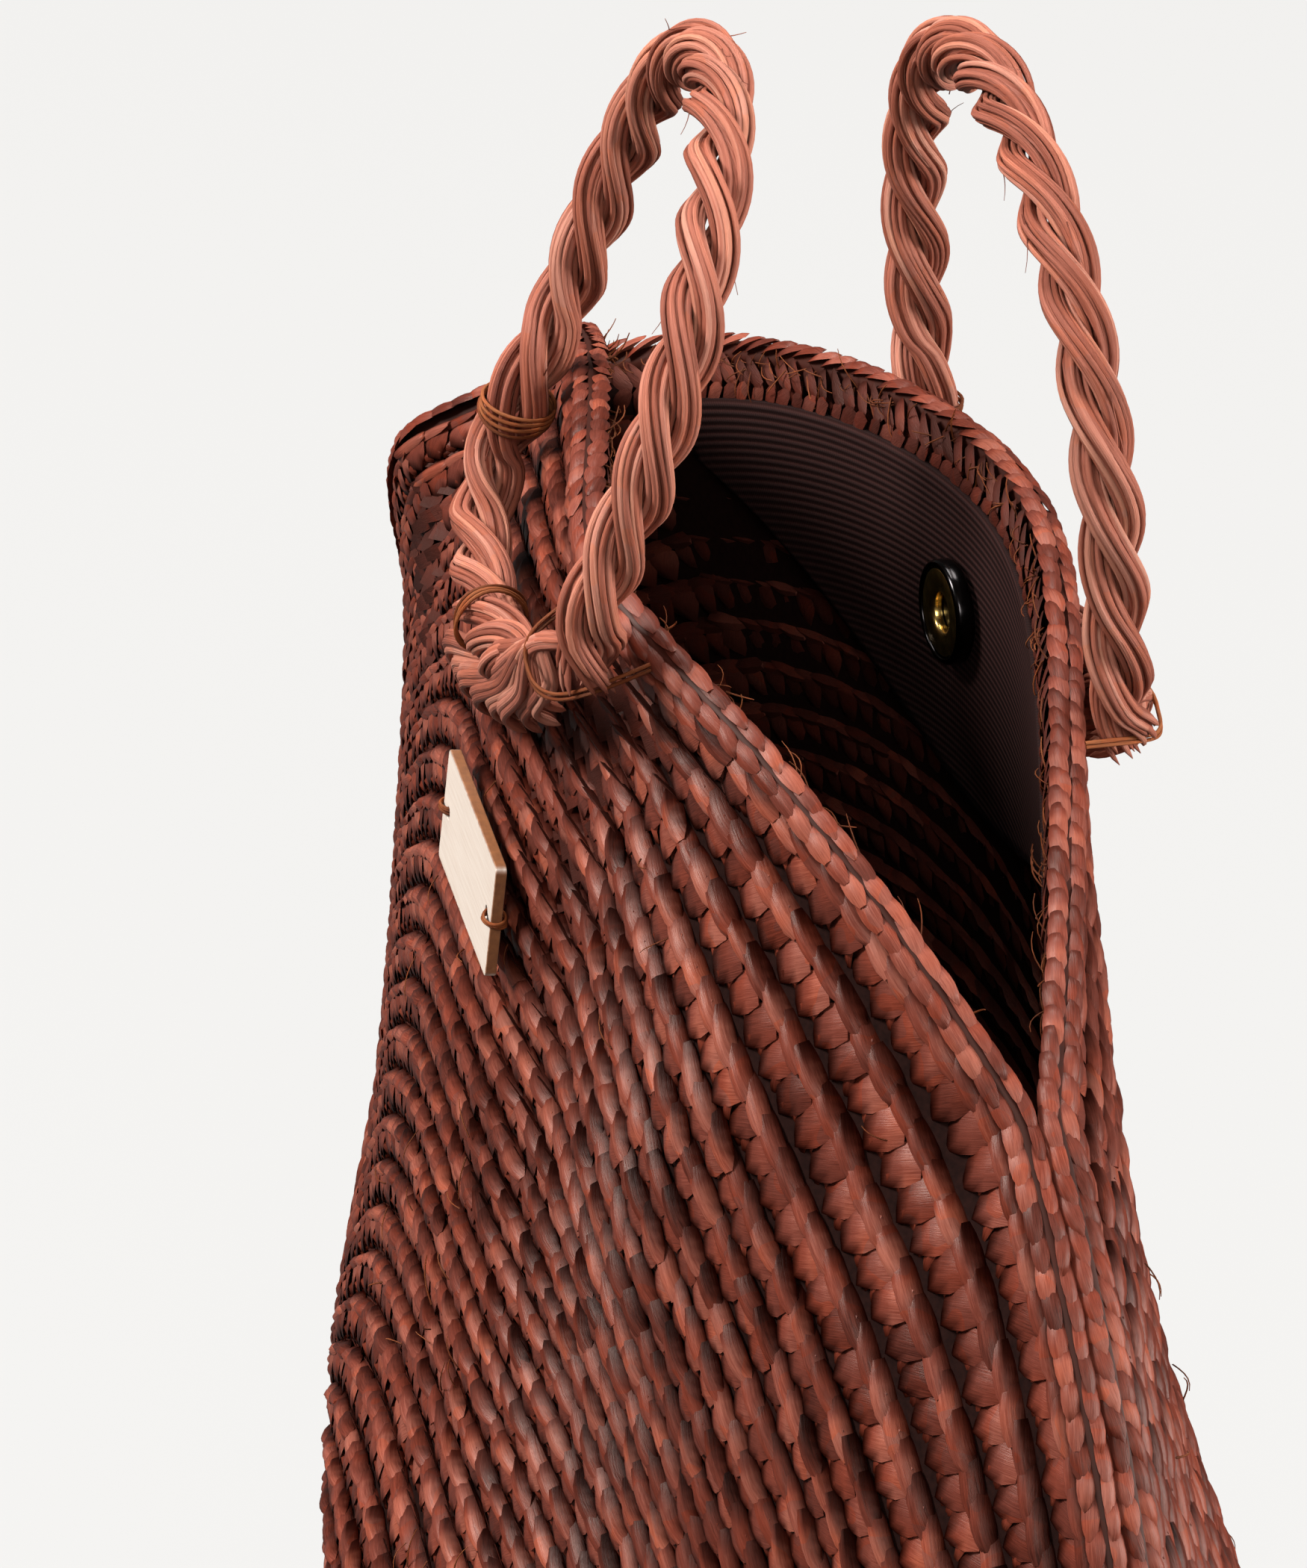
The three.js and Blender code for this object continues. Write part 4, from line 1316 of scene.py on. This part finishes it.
# magnetic snap: black nickel halves with a brass centre, as radius and height from the seat in millimetres
snap = {
    "angle": -6, "drop": 30 * mm, "washerStart": 4.6 * mm, "seat": 7.7 * mm, "turns": 48,
    "case": [
        (0, 0), (7.9, 0), (8.4, 0.35), (8.5, 0.9), (8.5, 2.5), (8.25, 3), (7.8, 3.2), (7.45, 3.1),
        (7.35, 2.8), (7.35, 1), (0, 1),
    ],
    "magnet": [
        (3.2, 1.15), (7.15, 1.15), (7.15, 2.65), (6.9, 2.85), (4, 2.85), (3.45, 2.6), (3.2, 2.2), (3.2, 1.15),
    ],
    "plate": [
        (0, 0), (8.1, 0), (8.45, 0.3), (8.5, 0.7), (8.4, 1.15), (8, 1.45), (6.4, 1.6), (5.9, 1.35),
        (3.4, 1.3), (2.9, 1.6), (0, 1.6),
    ],
    "post": [(0, 1.9), (2.5, 1.9), (2.6, 2.1), (2.6, 3.2), (2.35, 3.6), (1.7, 3.75), (0, 3.8)],
    "washer": [(0, 0), (5.9, 0), (6, 0.1), (6, 0.7), (5.9, 0.8), (0, 0.8)],
}
metalFinish = {"scale": 700, "detail": 4, "roughSpan": 0.16, "Metallic": 1}
metals = {
    "blackNickel": {"dark": (0.012, 0.011, 0.012), "light": (0.03, 0.027, 0.026), "roughness": 0.1},
    "brass": {"dark": (0.62, 0.43, 0.14), "light": (0.5, 0.32, 0.09), "roughness": 0.16},
}


def turnedPiece(name, profile, seat, material):
    # lathe form about the seat's own axis; a profile that ends at its start is a ring
    ring, around = profile[0] == profile[-1], np.arange(snap["turns"]) * 2 * math.pi / snap["turns"]
    circles = []
    for radius, height in profile[:-1] if ring else profile:
        circle = np.stack([np.cos(around) * radius, np.sin(around) * radius, 0 * around + height], -1)
        circles.append(circle if radius else circle[:1])
    vertices = []
    rings = addRings(vertices, circles)
    placed = [seat @ Vector(point * mm) for point in vertices]
    item = meshObject(name, placed, chained(rings + rings[:1] if ring else rings, False), material)
    sharpenEdges(item.data)
    return item


def insideSeat(side, depth):
    place = discPlace(snap["angle"], snap["drop"])
    turn = Vector((0, 0, 1)).rotation_difference(Vector(inwardNormal(side, *place)))
    return Matrix.Translation(wallPoint(side, *place, depth)) @ turn.to_matrix().to_4x4()


def buildSnaps():
    nickel, brass = (grainMaterial(name, **metalFinish, **metals[name]) for name in metals)
    for side, (plain, gold) in ((front, ("plate", "post")), (back, ("case", "magnet"))):
        name = sideNames[side] + "_snap_"
        for half in (plain, gold, "washer"):
            metal, slot = (brass, "brass") if half == gold else (nickel, "dark_metal")
            seat = insideSeat(side, snap["washerStart" if half == "washer" else "seat"])
            onBag(turnedPiece(f"{name}{half}_metal", snap[half], seat, metal), slot, name + half)


buildSnaps()
print("snap ready")

# wooden tag: bare pale board with burnt edges, tied at both short sides; its own sizes in millimetres
tag = {
    "across": -15 * mm, "height": 125 * mm, "lift": 1.7 * mm, "length": 41, "width": 19.5, "thick": 1.8,
    "corner": 1.2, "hole": 16.5, "holeRadius": 1.0, "bevel": 0.18, "scorch": 0.75, "seed": 5,
    "tieTurns": 3, "tieMiddle": 18.9, "tieRadius": 2.3, "tieSpacing": 0.42, "tieWidth": 0.6 * mm,
    "tieThick": 0.5 * mm, "pale": (0.52, 0.445, 0.38), "grain": (0.4, 0.3, 0.235),
    "burnt": (0.27, 0.1, 0.03), "char": (0.11, 0.035, 0.012), "grainScale": (0.09, 1.6, 1.6),
}


def woodMaterial():
    material, tree = newMaterial("paleWood")
    local = attribute(tree, "strand", "Vector")
    x, y, z = parted(local)
    lay = [maths("MULTIPLY", t, size) for t, size in zip((x, y, z), tag["grainScale"])]
    grain = noise(vector(*lay), 1, 5)
    pale = mixed(maths("POWER", grain, 2.2), tag["pale"], tag["grain"])
    # scorch: how near the nearest border is, roughened by noise
    gaps = [maths("SUBTRACT", tag[key] / 2, maths("ABSOLUTE", t)) for key, t in (("length", x), ("width", y))]
    char = noise(local, 0.9, 4)
    depth = maths("DIVIDE", maths("MINIMUM", *gaps), maths("MULTIPLY", char, tag["scorch"]))
    burnt = maths("POWER", maths("SUBTRACT", 1.0, depth, clamp=True), 0.7)
    colour = mixed(burnt, pale, mixed(char, tag["burnt"], tag["char"]))
    shadeWith(tree, BaseColor=colour, Normal=relief(grain, 0.25, 0.0002), Roughness=0.6)
    return material


def weld(item):
    edit = bmesh.new()
    edit.from_mesh(item.data)
    bmesh.ops.remove_doubles(edit, verts=edit.verts, dist=2e-6)
    bmesh.ops.recalc_face_normals(edit, faces=edit.faces)
    edit.to_mesh(item.data)
    edit.free()


def tagLoops():
    # rounded outline and its two holes
    x, y, r = tag["length"] / 2, tag["width"] / 2, tag["corner"]
    outline = []
    for start, cx, cy in ((-90, 1, -1), (0, 1, 1), (90, -1, 1), (180, -1, -1)):
        turns = [math.radians(start + 15 * k) for k in range(7)]
        outline += [(cx * (x - r) + r * math.cos(a), cy * (y - r) + r * math.sin(a)) for a in turns]
    ring, r = [2 * math.pi * k / 20 for k in range(20)], tag["holeRadius"]
    holes = [[(end * tag["hole"] + r * math.cos(a), -r * math.sin(a)) for a in ring] for end in (-1, 1)]
    return [outline, *holes]


def tagForm():
    # points and faces of the board lying flat, with its outer edges bevelled
    curve = bpy.data.curves.new("tagOutline", "CURVE")
    curve.dimensions, curve.fill_mode = "2D", "BOTH"
    curve.extrude, curve.bevel_depth = tag["thick"] / 2 - tag["bevel"], tag["bevel"]
    curve.bevel_resolution, curve.offset = 2, -tag["bevel"]
    for loop in tagLoops():
        spline = curve.splines.new("POLY")
        spline.points.add(len(loop) - 1)
        for point, (x, y) in zip(spline.points, loop):
            point.co = (x, y, 0, 1)
        spline.use_cyclic_u = True
    guide = addObject("tagOutline", curve)
    graph = bpy.context.evaluated_depsgraph_get()
    flat = bpy.data.meshes.new_from_object(guide.evaluated_get(graph), depsgraph=graph)
    local = np.array([v.co for v in flat.vertices])
    local[:, 2] += tag["thick"] / 2
    faces = [tuple(p.vertices) for p in flat.polygons]
    bpy.data.objects.remove(guide)
    return local, faces


def buildTag():
    u, w = tag["across"], tag["height"]
    outward = -inwardNormal(front, u, w)
    across = unit(np.array([1.0, 0, 0]) - outward * outward[0])
    axes = np.array([across, np.cross(outward, across), outward])
    place = wallPoint(front, u, w, -tag["lift"])
    local, faces = tagForm()
    board = meshObject("tag_board", place + local @ axes * mm, faces, woodMaterial(), local, smooth=False)
    weld(board)
    onBag(board, "wood", "tag")
    rng, around = random.Random(tag["seed"]), np.linspace(0, 2 * math.pi, 29)
    for label, end in (("far", -1), ("near", 1)):
        strands = []
        for k in range(tag["tieTurns"]):
            radius = tag["tieRadius"] + 0.12 * np.sin(2 * around + k)
            x, z = -end * radius * np.cos(around), radius * np.sin(around) * 0.8
            y = (k - 1) * tag["tieSpacing"] + 0.25 * np.sin(around + k)
            out = np.stack([x, y, z], -1) @ axes * mm
            middle = place + np.array([end * tag["tieMiddle"], 0, tag["thick"] / 2]) @ axes * mm
            strands.append((middle + out, unit(out), np.ones(len(out)), rng.random()))
        tie = sweep(f"tag_{label}_tie", strands, tag["tieWidth"], tag["tieThick"], 6, threadPaint)
        onBag(tie, "thread", f"tag_{label}_thread")


buildTag()
print("tag ready")
